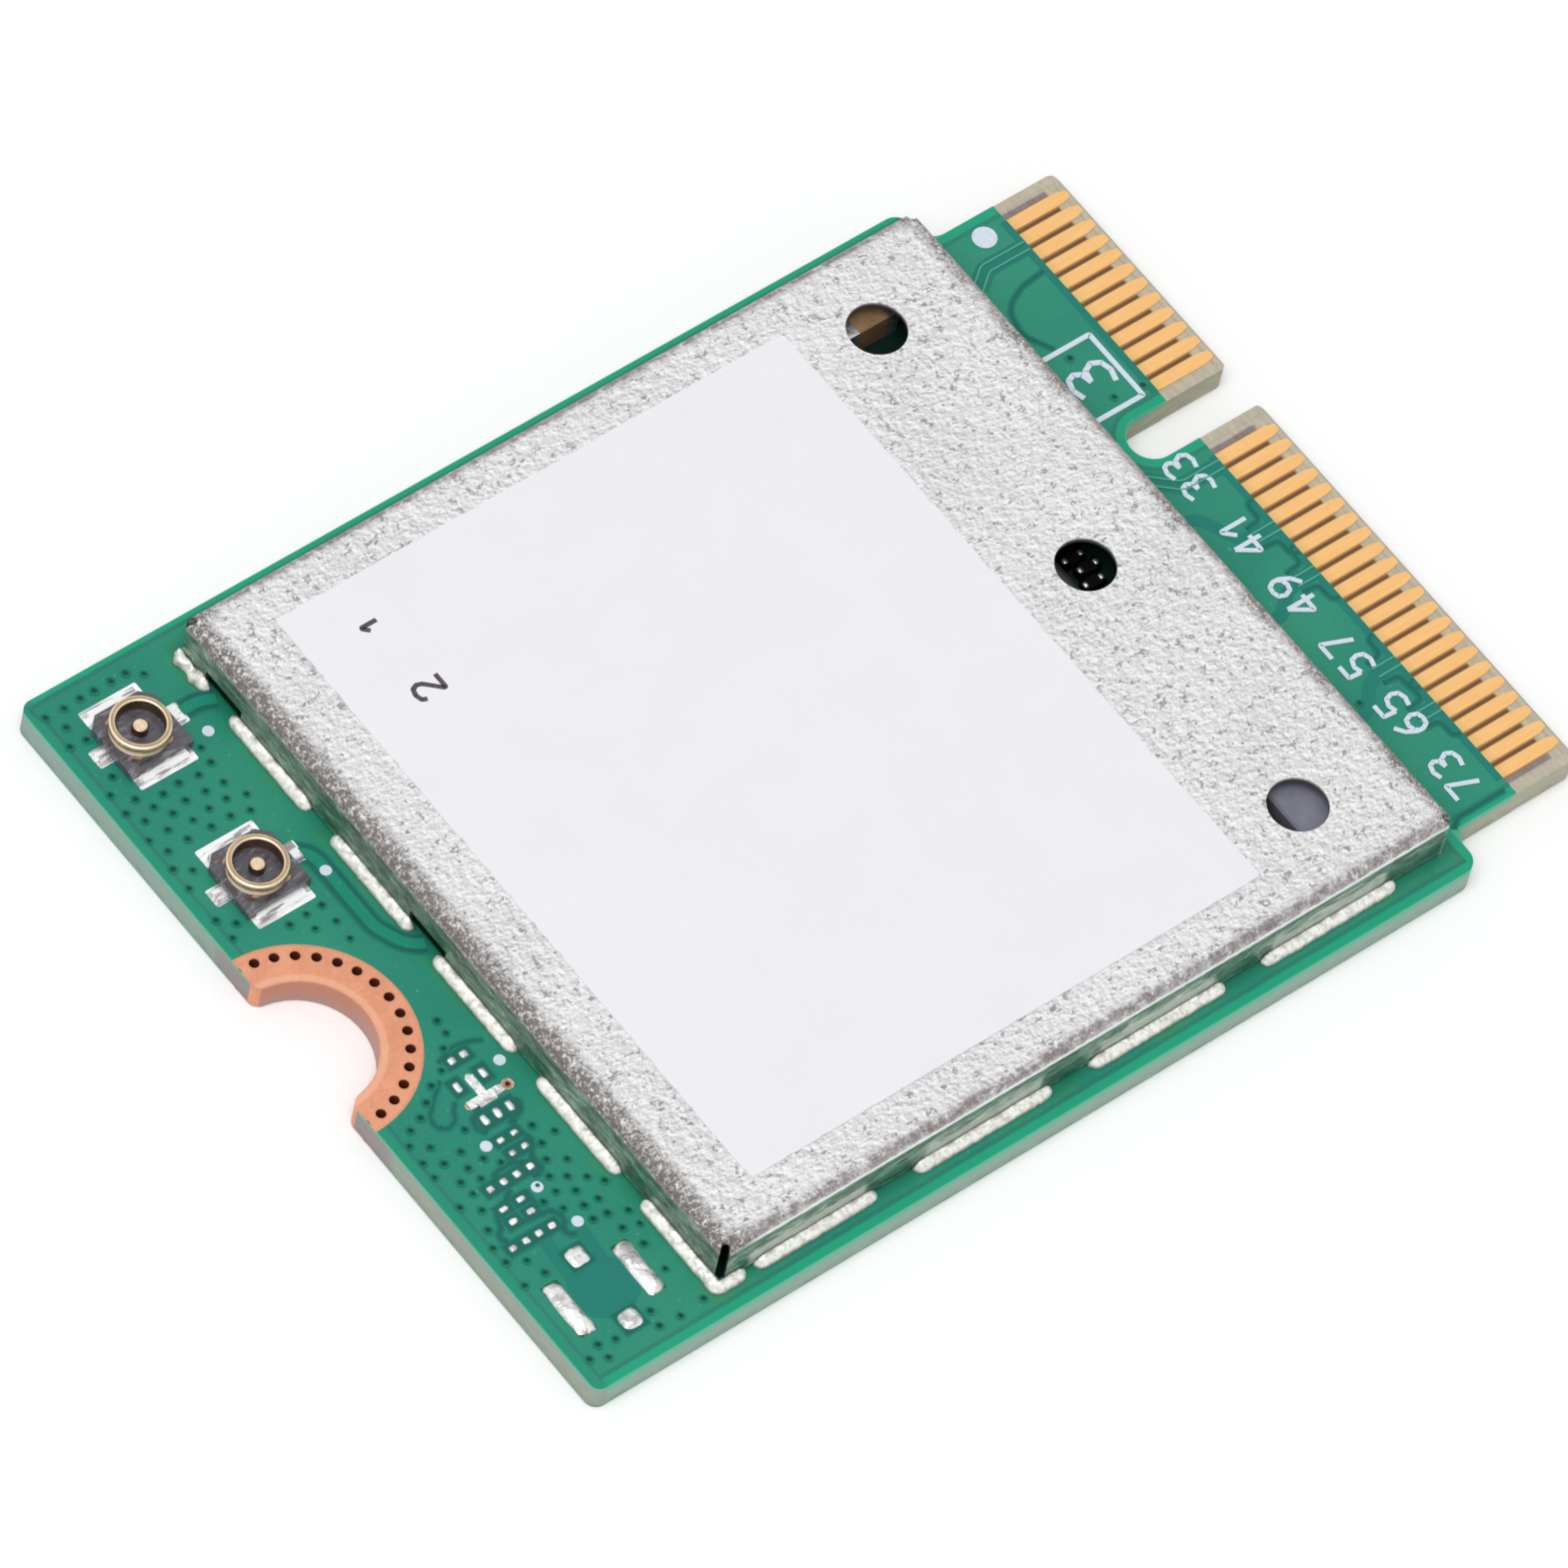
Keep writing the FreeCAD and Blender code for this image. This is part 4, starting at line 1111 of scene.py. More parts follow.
@dataclass
class NodeTool:
    """A geometry node tree with named inputs, run once on a blank object."""

    name: str
    INPUTS = {}

    def __post_init__(self) -> None:
        """Makes the tree with its inputs, and ends it in real meshes with their material."""
        self.tree = bpy.data.node_groups.new(self.name, "GeometryNodeTree")
        self.graph = Graph(self.tree)
        kinds = {"Geometry": "Geometry", **self.INPUTS, "Material": "Material"}
        self.inputs = {name: self.offer(name, "INPUT", kind) for name, kind in kinds.items()}
        self.offer("Geometry", "OUTPUT", "Geometry")
        group = self.graph.node("NodeGroupInput")
        given = {name: self.graph.take(group, name) for name in self.inputs}
        real = self.graph.node("GeometryNodeRealizeInstances", values={0: self.lay_out(given)})
        done = self.graph.node("GeometryNodeSetMaterial", values={
            "Geometry": real, "Material": given["Material"]})
        self.graph.node("NodeGroupOutput", values={0: done})

    def offer(self, name: str, side: str, kind: str) -> str:
        """Adds a named socket to the tree, and gives its identifier."""
        return self.tree.interface.new_socket(
            name=name, in_out=side, socket_type=f"NodeSocket{kind}").identifier

    def lay_out(self, given: dict[str, Wire]) -> bpy.types.Node:
        """Fills the tree from its inputs, up to the node with the finished geometry."""
        raise NotImplementedError

    def run(self, mesh: bpy.types.Mesh, slot: Slot, **values: object) -> None:
        """Runs the tree on a mesh and hangs the result on the card.

        Args:
            mesh: the points or lines that the tree starts from, named as the piece.
            slot: the record's slot for its finish.
            values: the named inputs' values.
        """
        name = mesh.name
        start = Bench.blank(name + "_start", mesh)
        modifier = start.modifiers.new(self.name, "NODES")
        modifier.node_group = self.tree
        for key, value in values.items():
            modifier[self.inputs[titled(key)]] = value
        done = Bench.applied(start, name)
        done.data.polygons.foreach_set("use_smooth", [False] * len(done.data.polygons))
        Bench.settle(done, slot)


@dataclass
class RibbonTool(NodeTool):
    """Flat ribbons along lines, with rounded turns."""

    name: str = "ribbons"
    INPUTS = {"Width": "Float", "Thickness": "Float", "Turn Radius": "Float"}

    def lay_out(self, given: dict[str, Wire]) -> bpy.types.Node:
        """Fills the tree from its inputs, up to the node with the finished geometry."""
        node = self.graph.node
        lines = node("GeometryNodeMeshToCurve", values={0: given["Geometry"]})
        turned = node("GeometryNodeFilletCurve", {"mode": "POLY"}, {
            "Curve": lines, "Count": 5, "Limit Radius": True, "Radius": given["Turn Radius"]})
        level = node("GeometryNodeSetCurveNormal", {"mode": "Z_UP"}, {0: turned})
        profile = node("GeometryNodeCurvePrimitiveQuadrilateral", {"mode": "RECTANGLE"}, {
            "Width": given["Width"], "Height": given["Thickness"]})
        return node("GeometryNodeCurveToMesh", values={
            "Curve": level, "Profile Curve": profile, "Fill Caps": True})

    def lay(self, name: str, lines: Lines, height: float, slot: Slot, rise: float = 0.0003,
            turn_radius: float = 0.03, **values: object) -> None:
        """Lays one piece of ribbons.

        Args:
            name: the piece's name.
            lines: each ribbon's points.
            height: the first ribbon's middle height.
            slot: the record's slot for its finish.
            rise: how much higher each next ribbon lies, so that crossing ones share no face.
            turn_radius: the radius of the turns.
            values: the other named inputs' values.
        """
        points: list[tuple[float, float, float]] = []
        edges: list[tuple[int, int]] = []
        for index, line in enumerate(lines):
            first = len(points)
            points += [(x, y, height + index * rise) for x, y in line]
            edges += [(first + i, first + i + 1) for i in range(len(line) - 1)]
        self.run(Bench.mesh(name, points, edges), slot, turn_radius=turn_radius, **values)


@dataclass
class DotTool(NodeTool):
    """Small round dots at points, each a little different in size."""

    name: str = "dots"
    INPUTS = {"Radius": "Float", "Thickness": "Float", "Spread": "Float", "Sides": "Int",
              "Seed": "Int"}

    def lay_out(self, given: dict[str, Wire]) -> bpy.types.Node:
        """Fills the tree from its inputs, up to the node with the finished geometry."""
        node, take = self.graph.node, self.graph.take
        disc = node("GeometryNodeMeshCylinder", {"fill_type": "TRIANGLE_FAN"}, {
            "Vertices": given["Sides"], "Side Segments": 1, "Fill Segments": 1,
            "Radius": given["Radius"], "Depth": given["Thickness"]})
        parts = node("ShaderNodeSeparateXYZ", values={0: node("GeometryNodeInputPosition")})
        marked = node(
            "GeometryNodeStoreNamedAttribute", {"data_type": "FLOAT", "domain": "POINT"},
            {"Geometry": disc, "Name": DOT_REACH,
             "Value": take(parts, 0).span(take(parts, 1)) / given["Radius"]})
        size = take(node("FunctionNodeRandomValue", {"data_type": "FLOAT"}, {
            "Min": 1 - given["Spread"], "Max": 1 + given["Spread"], "Seed": given["Seed"]}), 1)
        scale = node("ShaderNodeCombineXYZ", values={0: size, 1: size, 2: 1.0})
        return node("GeometryNodeInstanceOnPoints", values={
            "Points": given["Geometry"], "Instance": marked, "Scale": scale})

    def lay(self, name: str, points: Sequence[Point], height: float, slot: Slot,
            **values: object) -> None:
        """Lays one piece of dots.

        Args:
            name: the piece's name.
            points: each dot's centre.
            height: the dots' middle height.
            slot: the record's slot for its finish.
            values: the other named inputs' values.
        """
        self.run(Bench.mesh(name, [(x, y, height) for x, y in points]), slot, **values)


@dataclass
class StrokeNumbers:
    """Plain numbers drawn with one stroke width, as on circuit boards."""

    height: float
    width: float = 0.60
    spacing: float = 0.30

    STROKES = {
        "1": (((-0.06, 0.60), (0.30, 1.0), (0.30, 0.0)),),
        "2": (((0.0, 0.76), (0.07, 0.93), (0.30, 1.0), (0.53, 0.93), (0.60, 0.75), (0.54, 0.57),
               (0.0, 0.0), (0.62, 0.0)),),
        "3": (((0.0, 0.92), (0.28, 1.0), (0.52, 0.92), (0.58, 0.76), (0.50, 0.60), (0.24, 0.54)),
              ((0.26, 0.54), (0.52, 0.48), (0.62, 0.27), (0.52, 0.07), (0.28, 0.0), (0.0, 0.08))),
        "4": (((0.46, 1.0), (0.0, 0.30), (0.64, 0.30)), ((0.46, 0.0), (0.46, 1.0))),
        "5": (((0.56, 1.0), (0.08, 1.0), (0.04, 0.56)),
              ((0.04, 0.54), (0.30, 0.62), (0.54, 0.52), (0.60, 0.30), (0.52, 0.08), (0.28, 0.0),
               (0.0, 0.08))),
        "6": (((0.50, 1.0), (0.20, 0.78), (0.03, 0.46), (0.02, 0.30)),
              ((0.02, 0.36), (0.02, 0.22), (0.12, 0.04), (0.32, 0.0), (0.52, 0.06), (0.60, 0.28),
               (0.52, 0.50), (0.32, 0.56), (0.12, 0.50), (0.05, 0.40))),
        "7": (((0.0, 1.0), (0.60, 1.0), (0.20, 0.0)),),
        "9": (((0.10, 0.0), (0.40, 0.22), (0.57, 0.54), (0.58, 0.70)),
              ((0.58, 0.64), (0.58, 0.78), (0.48, 0.96), (0.28, 1.0), (0.08, 0.94), (0.0, 0.72),
               (0.08, 0.50), (0.28, 0.44), (0.48, 0.50), (0.55, 0.60))),
    }

    def lines(self, number: int, foot_x: float, centre_y: float) -> list[list[Point]]:
        """A number's strokes, read with +Y to the right and -X up.

        Args:
            number: the number.
            foot_x: where its lower edge is.
            centre_y: the middle of its width.

        Returns:
            One line for each stroke.
        """
        digits = str(number)
        width = self.width * len(digits) + self.spacing * (len(digits) - 1)
        start = centre_y - width * self.height / 2
        strokes = []
        for index, digit in enumerate(digits):
            left = start + index * (self.width + self.spacing) * self.height
            strokes += [[(foot_x - v * self.height, left + u * self.height) for u, v in stroke]
                        for stroke in self.STROKES[digit]]
        return strokes


@dataclass
class Land:
    """One separate land of a node, in millimetres."""

    verts: list[bmesh.types.BMVert]
    centre: Point
    size: Point
    low_z: float
    high_z: float
    filled: float


def separate_lands(shape: bmesh.types.BMesh) -> list[Land]:
    """Finds the separate lands in a shape.

    Args:
        shape: the lands, in millimetres. Doubled vertices are merged in it.

    Returns:
        One entry for each land, with the share of its box that its upper face fills.
    """
    bmesh.ops.remove_doubles(shape, verts=shape.verts, dist=MERGE)
    left = set(shape.verts)
    lands = []
    for first in list(shape.verts):
        if first not in left:
            continue
        left.discard(first)
        reached, edge = [], [first]
        while edge:
            vertex = edge.pop()
            reached.append(vertex)
            for other in (link.other_vert(vertex) for link in vertex.link_edges):
                if other in left:
                    left.discard(other)
                    edge.append(other)
        low, high = ([end(vertex.co[axis] for vertex in reached) for axis in range(3)]
                     for end in (min, max))
        size = (high[0] - low[0], high[1] - low[1])
        centre = ((low[0] + high[0]) / 2, (low[1] + high[1]) / 2)
        faces = {face for vertex in reached for face in vertex.link_faces
                 if face.normal.z > FACING_UP}
        filled = sum(face.calc_area() for face in faces) / (size[0] * size[1])
        lands.append(Land(reached, centre, size, low[2], high[2], filled))
    return lands


@dataclass
class SolderedLands:
    """The empty lands with a dome of solder on each; a land of another outline stays as packed."""

    rings: int = 6
    sides: int = 24
    share: float = 0.90
    big_share: float = 1.16
    long_share: float = 1.42
    long_from: float = 2.2
    rise: float = 0.040
    tall_rise: float = 0.075
    large: float = 0.45
    full: float = 0.70
    power: float = 3.4
    waver: float = 0.13
    waver_scale: float = 1.3
    lump: float = 0.5
    lump_scale: float = 3.0
    seed_step: Point = (3.1, 2.3)
    steepness: int = 4
    waist: float = 0.27
    foot: float = 0.001

    def dome(self, shape: bmesh.types.BMesh, land: Land) -> None:
        """Adds one closed dome in a land's box.

        Args:
            shape: where it is added.
            land: the land that it stands on.
        """
        big = max(land.size) > self.large
        sides, rings = (self.sides * 2, self.rings * 2) if big else (self.sides, self.rings)
        rise = self.tall_rise if big else self.rise
        length = 1 if land.size[1] > land.size[0] else 0
        long = big and max(land.size) > self.long_from * min(land.size)
        share = [self.big_share if big else self.share] * 2
        if long:
            share[1 - length], share[length] = self.long_share, 1.0
        seed = Vector((land.centre[0] * self.seed_step[0], land.centre[1] * self.seed_step[1], 0.0))
        height = land.high_z - land.low_z
        loops = []
        for ring in range(rings, 0, -1):
            reach = ring / rings
            loop = []
            for side in range(sides):
                turn = 2 * math.pi * side / sides
                u, v = math.cos(turn), math.sin(turn)
                edge = (abs(u) ** self.power + abs(v) ** self.power) ** (-1 / self.power)
                edge *= 1 + self.waver * noise.noise(seed + Vector((u, v, 0.0)) * self.waver_scale)
                flat = [u * edge * reach, v * edge * reach]
                if long:
                    flat[1 - length] *= 1 - self.waist * (1 - flat[length] ** 2)
                x, y = (land.centre[axis] + flat[axis] * land.size[axis] / 2 * share[axis]
                        for axis in range(2))
                lump = 1 + self.lump * noise.noise(Vector((x, y, 0.0)) * self.lump_scale)
                z = land.low_z + self.foot + (height + rise * lump) * (1 - reach ** self.steepness)
                loop.append(shape.verts.new((x, y, z)))
            loops.append(loop)
        crown = shape.verts.new((*land.centre, land.high_z + rise))
        for outer, inner in zip(loops, loops[1:]):
            for i in range(sides):
                j = (i + 1) % sides
                shape.faces.new((outer[i], outer[j], inner[j], inner[i])).smooth = True
        for i in range(sides):
            shape.faces.new((loops[-1][i], loops[-1][(i + 1) % sides], crown)).smooth = True
        shape.faces.new(list(reversed(loops[0])))

    def build(self, frame: dict, node: str, name: str) -> None:
        """Makes the soldered copy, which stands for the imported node.

        Args:
            frame: the loaded model.
            node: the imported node's name.
            name: the piece's name.
        """
        shape = Bench.packed(frame, node)
        lands = [land for land in separate_lands(shape) if land.filled > self.full]
        spare = [vertex for land in lands for vertex in land.verts]
        bmesh.ops.delete(shape, geom=spare, context="VERTS")
        for land in lands:
            self.dome(shape, land)
        piece = Bench.shaped(name, shape)
        Bench.settle(piece, Slot.TINNED, SolderedCopper(
            "lumpy tin", grain=5.0, bright=(0.80, 0.80, 0.80), dull=(0.30, 0.30, 0.29),
            flux=(0.42, 0.20, 0.11), foot_z=0.785, lump=0.06))
        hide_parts(node)


@dataclass
class TeeSolder:
    """Solder that stands up on the tee-shaped land beside the screw notch."""

    LINES = (((-12.84, -3.364), (-11.94, -3.364)),
             ((-12.35, -3.36), (-12.35, -2.72)),
             ((-12.62, -3.43), (-12.12, -3.43)))
    STEPS = ((0.23, 0.034), (0.17, 0.048), (0.10, 0.058))
    rise: float = 0.0006

    def build(self, ribbons: RibbonTool) -> None:
        """Lays narrower ribbons of solder on wider ones."""
        tin = Tin("tee solder", grain=7.0, dull=(0.34, 0.34, 0.33), foot_z=-1.0, lump=0.05)
        material = tin.material()
        for index, (width, height) in enumerate(self.STEPS):
            ribbons.lay(f"tee_solder_{index}", self.LINES, COAT_Z + height / 2, Slot.TINNED,
                        self.rise, width=width, thickness=height, material=material)


def traced(along: Sequence[float], *rows: Sequence[float]) -> tuple[tuple[Point, ...], ...]:
    """Lines that share their places along the card.

    Args:
        along: each point's x.
        rows: each line's y at those places.

    Returns:
        The lines.
    """
    return tuple(tuple(zip(along, row)) for row in rows)


def paired(end_x: float, start_x: float, rows: Sequence[float],
           apart: float = 0.0) -> tuple[tuple[Point, Point], ...]:
    """Straight lines along the card, one for each row, or two where they lie apart."""
    sides = (apart, -apart) if apart else (0.0,)
    return tuple(((end_x, y + side), (start_x, y + side)) for y in rows for side in sides)


@dataclass
class CoatDetail:
    """What shows through the coat: covered vias, gaps in the copper and the tracks in them.

    Lines are grouped by their width and the radius of their turns.
    """

    thickness: float = 0.020
    lowest: float = 0.0010
    rise: float = 0.00022
    via_top: float = 0.0215
    via_radius: float = 0.128
    soft_spread: float = 0.050
    halo_limit: float = 0.80
    halo_spread: float = 0.060
    filter_radius: float = 0.86
    FILTER_GROUND = (-13.17, -8.87)
    VIAS = (
        (-14.65, 10.4), (-14.13, 10.38), (-13.65, 10.4), (-13.25, 10.4), (-12.77, 10.4),
        (-12.35, 10.4), (-14.4, 9.93), (-12.0, 10.15), (-14.65, 9.45), (-14.2, 9.4),
        (-14.3, 8.27), (-14.65, 7.88), (-12.1, 7.8), (-14.65, 7.28), (-14.23, 7.48),
        (-14.0, 7.08), (-13.6, 7.25), (-13.12, 7.3), (-12.6, 7.23), (-12.15, 7.35),
        (-14.4, 6.88), (-13.73, 6.7), (-13.27, 6.83), (-12.73, 6.78), (-12.23, 6.75),
        (-14.65, 6.4), (-14.1, 6.4), (-13.45, 6.3), (-12.95, 6.36), (-12.45, 6.36),
        (-11.98, 6.2), (-14.45, 5.93), (-13.87, 5.95), (-13.2, 5.93), (-12.65, 5.92),
        (-12.17, 5.8), (-14.65, 5.47), (-14.28, 5.2), (-14.65, 4.85), (-14.65, 3.82),
        (-14.3, 3.5), (-14.62, 3.22), (-13.3, 2.8), (-12.8, 2.82), (-12.35, 2.83),
        (-12.87, 2.4), (-12.33, 2.3), (-12.35, 1.75), (-12.02, -1.12), (-12.05, -1.5),
        (-12.35, -1.8), (-12.75, -2.25), (-13.2, -2.45), (-13.57, -2.75), (-13.93, -3.0),
        (-14.33, -3.15), (-14.6, -3.47), (-14.22, -3.75), (-14.62, -4.0), (-13.27, -3.8),
        (-13.7, -4.22), (-14.22, -4.27), (-14.63, -4.45), (-13.83, -4.67), (-13.38, -4.65),
        (-14.2, -4.88), (-13.1, -4.95), (-13.75, -5.05), (-14.15, -5.27), (-14.63, -5.4),
        (-14.25, -5.73), (-11.9, -4.55), (-12.0, -5.05), (-11.55, -4.95), (-12.18, -5.45),
        (-11.77, -5.7), (-12.4, -5.85), (-12.05, -6.07), (-14.45, -6.23), (-12.52, -6.25),
        (-11.68, -6.33), (-12.12, -6.48), (-12.93, -6.32), (-11.4, -6.63), (-14.65, -6.67),
        (-12.65, -6.7), (-12.2, -6.9), (-11.82, -6.93), (-14.63, -7.13), (-14.2, -7.35),
        (-12.25, -7.3), (-11.88, -7.35), (-11.43, -7.55), (-14.65, -7.85), (-14.05, -7.83),
        (-11.83, -7.85), (-11.43, -7.98), (-11.68, -8.45), (-11.68, -9.25), (-11.43, -10.35),
        (-14.2, -10.0), (-13.77, -10.1), (-12.65, -9.95), (-14.6, -10.2), (-14.2, -10.4),
        (-12.72, -10.37), (-12.15, -10.43), (11.9, 5.45), (12.1, 4.0), (12.9, 3.9),
        (11.55, -5.95),
    )
    PAIRS = (-0.97, -2.47, -5.50, -7.02)
    CLEARANCES = {
        (0.20, 0.1): (((13.0, 1.42), (13.0, -9.42)), ((13.02, 3.58), (13.02, 9.42))),
        (0.50, 0.4): (((13.06, 8.57), (11.8, 8.57), (11.3, 8.2)),
                      ((11.20, 1.75), (11.9, 1.12), (13.08, 1.12))),
        (0.46, 0.1): paired(12.42, 13.08, PAIRS),
        (0.34, 0.4): traced((11.05, 11.60, 12.05, 12.45), (0.35, 0.20, -0.75, -0.97),
                            (-3.10, -3.00, -2.60, -2.47), (-6.35, -6.20, -5.70, -5.50)),
        (0.34, 0.1): (((-13.52, -7.05), (-13.62, -8.30)), ((-12.66, -7.30), (-12.76, -8.35))),
    }
    FEEDS = (((-11.4, 8.86), (-11.0, 8.7)),
             ((-11.70, 4.15), (-11.70, 1.7), (-11.35, 0.85), (-10.98, 0.70)))
    OUTLINES = {
        (0.50, 0.9): (((-11.9, 8.86), *FEEDS[0]), ((-12.0, 4.32), *FEEDS[1])),
        (0.08, 0.7): (
            ((12.95, 7.78), (12.25, 7.70), (11.55, 7.40), (11.35, 6.60), (11.75, 5.85)),
            ((-12.95, -2.45), (-13.35, -2.75), (-13.75, -3.1), (-13.8, -3.4), (-13.6, -3.6),
             (-13.3, -3.5), (-13.15, -3.2), (-13.0, -3.1)),
            ((-12.70, -2.05), (-12.2, -1.85), (-11.75, -1.95), (-11.45, -2.1))),
        (0.10, 0.07): (
            ((-11.91, -3.68), (-11.76, -3.86), (-11.86, -4.07), (-12.09, -4.16), (-12.27, -4.17),
             (-12.22, -4.40), (-12.21, -4.60), (-12.15, -4.81), (-12.23, -4.99), (-12.41, -5.15),
             (-12.42, -5.39), (-12.41, -5.57), (-12.57, -5.67), (-12.72, -5.63)),
            ((-12.61, -3.50), (-12.96, -3.68), (-13.03, -3.95), (-12.89, -4.16)),
            ((-12.64, -5.24), (-12.95, -5.08), (-13.20, -5.08), (-13.43, -5.13), (-13.54, -5.26)),
            ((-13.36, -5.66), (-13.54, -5.71), (-13.56, -5.86), (-13.78, -5.84), (-14.06, -6.04),
             (-14.16, -6.33), (-14.33, -6.46), (-14.36, -6.66), (-14.24, -6.72)),
            ((-13.09, -5.83), (-13.11, -6.14), (-13.15, -6.39), (-13.34, -6.53), (-13.60, -6.49)),
            ((-13.39, -6.50), (-12.94, -6.58), (-12.80, -6.82), (-12.87, -7.02), (-13.02, -7.15),
             (-12.95, -7.34), (-12.81, -7.39))),
        (0.08, 0.13): (
            ((12.9, -9.7), (11.5, -9.7), (11.2, -9.88)),
            *traced((13.04, 12.86, 12.84, 12.40), (-0.05, -0.10, -0.60, -0.66),
                    (-1.85, -1.80, -1.32, -1.28)),
            *traced((13.04, 12.90, 12.88, 12.40), (-1.62, -1.64, -2.10, -2.16)),
            *traced((13.04, 12.86, 12.84, 12.40), (-3.35, -3.30, -2.82, -2.78),
                    (-4.60, -4.65, -5.13, -5.19), (-6.38, -6.33, -5.86, -5.81)),
            *traced((13.04, 12.90, 12.88, 12.40), (-6.12, -6.14, -6.65, -6.71)),
            *traced((13.04, 12.86, 12.84, 12.40), (-7.90, -7.85, -7.37, -7.33))),
    }
    TRACKS = {(0.28, 0.9): (((-11.98, 8.86), *FEEDS[0]), ((-12.05, 4.32), *FEEDS[1]))}
    FINE_TRACKS = {
        (0.045, 0.3): (*paired(12.40, 13.08, PAIRS, 0.13),
                       ((13.07, 8.70), (11.76, 8.70), (11.30, 8.36)),
                       ((13.07, 8.46), (11.84, 8.46), (11.30, 8.06)),
                       ((13.08, 1.24), (11.95, 1.24), (11.25, 1.86)),
                       ((13.08, 1.00), (11.85, 1.00), (11.18, 1.60))),
    }

    def halos(self, frame: dict, node: str, spread: float) -> Groups:
        """Short lines under a node's small lands.

        Args:
            frame: the loaded model.
            node: the lands' node.
            spread: how far the halo stands out on each side.

        Returns:
            Lines by width and turn.
        """
        shape = Bench.packed(frame, node)
        groups: dict[Point, list[tuple[Point, Point]]] = {}
        for land in separate_lands(shape):
            (x, y), (size_x, size_y) = land.centre, land.size
            if max(land.size) > self.halo_limit:
                continue
            reach = max(land.size) / 2 + spread
            if size_x > size_y:
                line = ((x - reach, y), (x + reach, y))
            else:
                line = ((x, y - reach), (x, y + reach))
            groups.setdefault((round(min(land.size) + 2 * spread, 2), 0.0), []).append(line)
        shape.free()
        return groups

    def build(self, frame: dict, ribbons: RibbonTool, dots: DotTool) -> None:
        """Makes the vias and the copper's lines and hangs them on the card."""
        halos = self.halos(frame, "bare_lands", self.halo_spread)
        soft = self.halos(frame, "bare_lands", self.halo_spread + self.soft_spread)
        soft |= {(width + 2 * self.soft_spread, turn): lines
                 for (width, turn), lines in self.OUTLINES.items()}
        middle_z = COAT_Z - self.thickness / 2
        laid = 0
        for label, part, groups in (("clearance", CoatPart.CLEARANCE, self.CLEARANCES),
                                    ("soft", CoatPart.CLEARANCE, soft),
                                    ("halo", CoatPart.OUTLINE, halos),
                                    ("outline", CoatPart.OUTLINE, self.OUTLINES),
                                    ("track", CoatPart.TRACK, self.TRACKS),
                                    ("fine_track", CoatPart.FINE_TRACK, self.FINE_TRACKS)):
            material = CoatedLaminate(f"coat over {label}", part).material()
            for index, ((width, turn), lines) in enumerate(groups.items()):
                level = middle_z + self.lowest + laid * self.rise
                ribbons.lay(f"coat_{label}_{index}", lines, level, Slot.LAMINATE, self.rise, turn,
                            width=width, thickness=self.thickness, material=material)
                laid += len(lines)
        gap = CoatedLaminate("coat over a gap", CoatPart.CLEARANCE).material()
        dots.lay("filter_ground", [self.FILTER_GROUND], middle_z + self.lowest / 2, Slot.LAMINATE,
                 radius=self.filter_radius, thickness=self.thickness, spread=0.0, sides=10, seed=2,
                 material=gap)
        via = CoatedLaminate("coat over vias", CoatPart.COVERED_VIA).material()
        dots.lay("covered_vias", self.VIAS, middle_z + self.via_top, Slot.LAMINATE,
                 radius=self.via_radius, thickness=self.thickness, spread=0.10, sides=14, seed=11,
                 material=via)


@dataclass
class PrintedMarks:
    """White print on the coat: dots, a target, a framed number and plain contact numbers."""

    thickness: float = 0.026
    hole_height: float = 0.030
    hole_radius: float = 0.055
    dot_radius: float = 0.145
    target_radius: float = 0.31
    frame_line: float = 0.13
    frame_number: int = 3
    frame_number_height: float = 1.16
    frame_number_foot: Point = (12.53, 4.70)
    number_line: float = 0.14
    small_line: float = 0.115
    contact_numbers: tuple[int, ...] = (33, 41, 49, 57, 65, 73)
    contact_number_height: float = 0.78
    contact_number_foot: float = 12.56
    axis_number: int = 38
    HOLES = ((-12.79, -5.90),)
    TARGETS = ((12.35, 9.30),)
    DOTS = ((-11.70, 8.07), (-11.72, 3.53), (-11.47, -2.75), (-13.14, -4.43), (-12.82, -5.93),
            (-12.60, -7.16))
    FRAME = ((11.27, 5.74), (12.72, 5.74), (12.72, 3.68), (11.27, 3.68))

    def contact_y(self, number: int) -> float:
        """Where a contact lies across the card. Each face takes every second number."""
        return (self.axis_number - number) * CONTACT_PITCH / 2

    def build(self, ribbons: RibbonTool, dots: DotTool) -> None:
        """Makes the print and hangs it on the card."""
        level = COAT_Z + self.thickness / 2
        white = Ink("white print").material()
        for name, points, radius, seed in (("print_dots", self.DOTS, self.dot_radius, 3),
                                           ("print_target", self.TARGETS, self.target_radius, 4)):
            dots.lay(name, points, level, Slot.LAMINATE, radius=radius, thickness=self.thickness,
                     spread=0.0, sides=32, seed=seed, material=white)
        dark = CoatedLaminate("coat in a hole", CoatPart.OUTLINE).material()
        dots.lay("print_holes", self.HOLES, COAT_Z + self.hole_height / 2, Slot.LAMINATE,
                 radius=self.hole_radius, thickness=self.hole_height, spread=0.1, sides=12, seed=5,
                 material=dark)
        numbers = StrokeNumbers(self.contact_number_height)
        foot_x = self.contact_number_foot
        small = [line for number in self.contact_numbers
                 for line in numbers.lines(number, foot_x, self.contact_y(number))]
        framed = StrokeNumbers(self.frame_number_height).lines(
            self.frame_number, *self.frame_number_foot)
        for name, lines, width in (("print_frame", [self.FRAME], self.frame_line),
                                   ("print_framed_number", framed, self.number_line),
                                   ("print_contact_numbers", small, self.small_line)):
            ribbons.lay(name, lines, level, Slot.LAMINATE, width=width, thickness=self.thickness,
                        material=white)


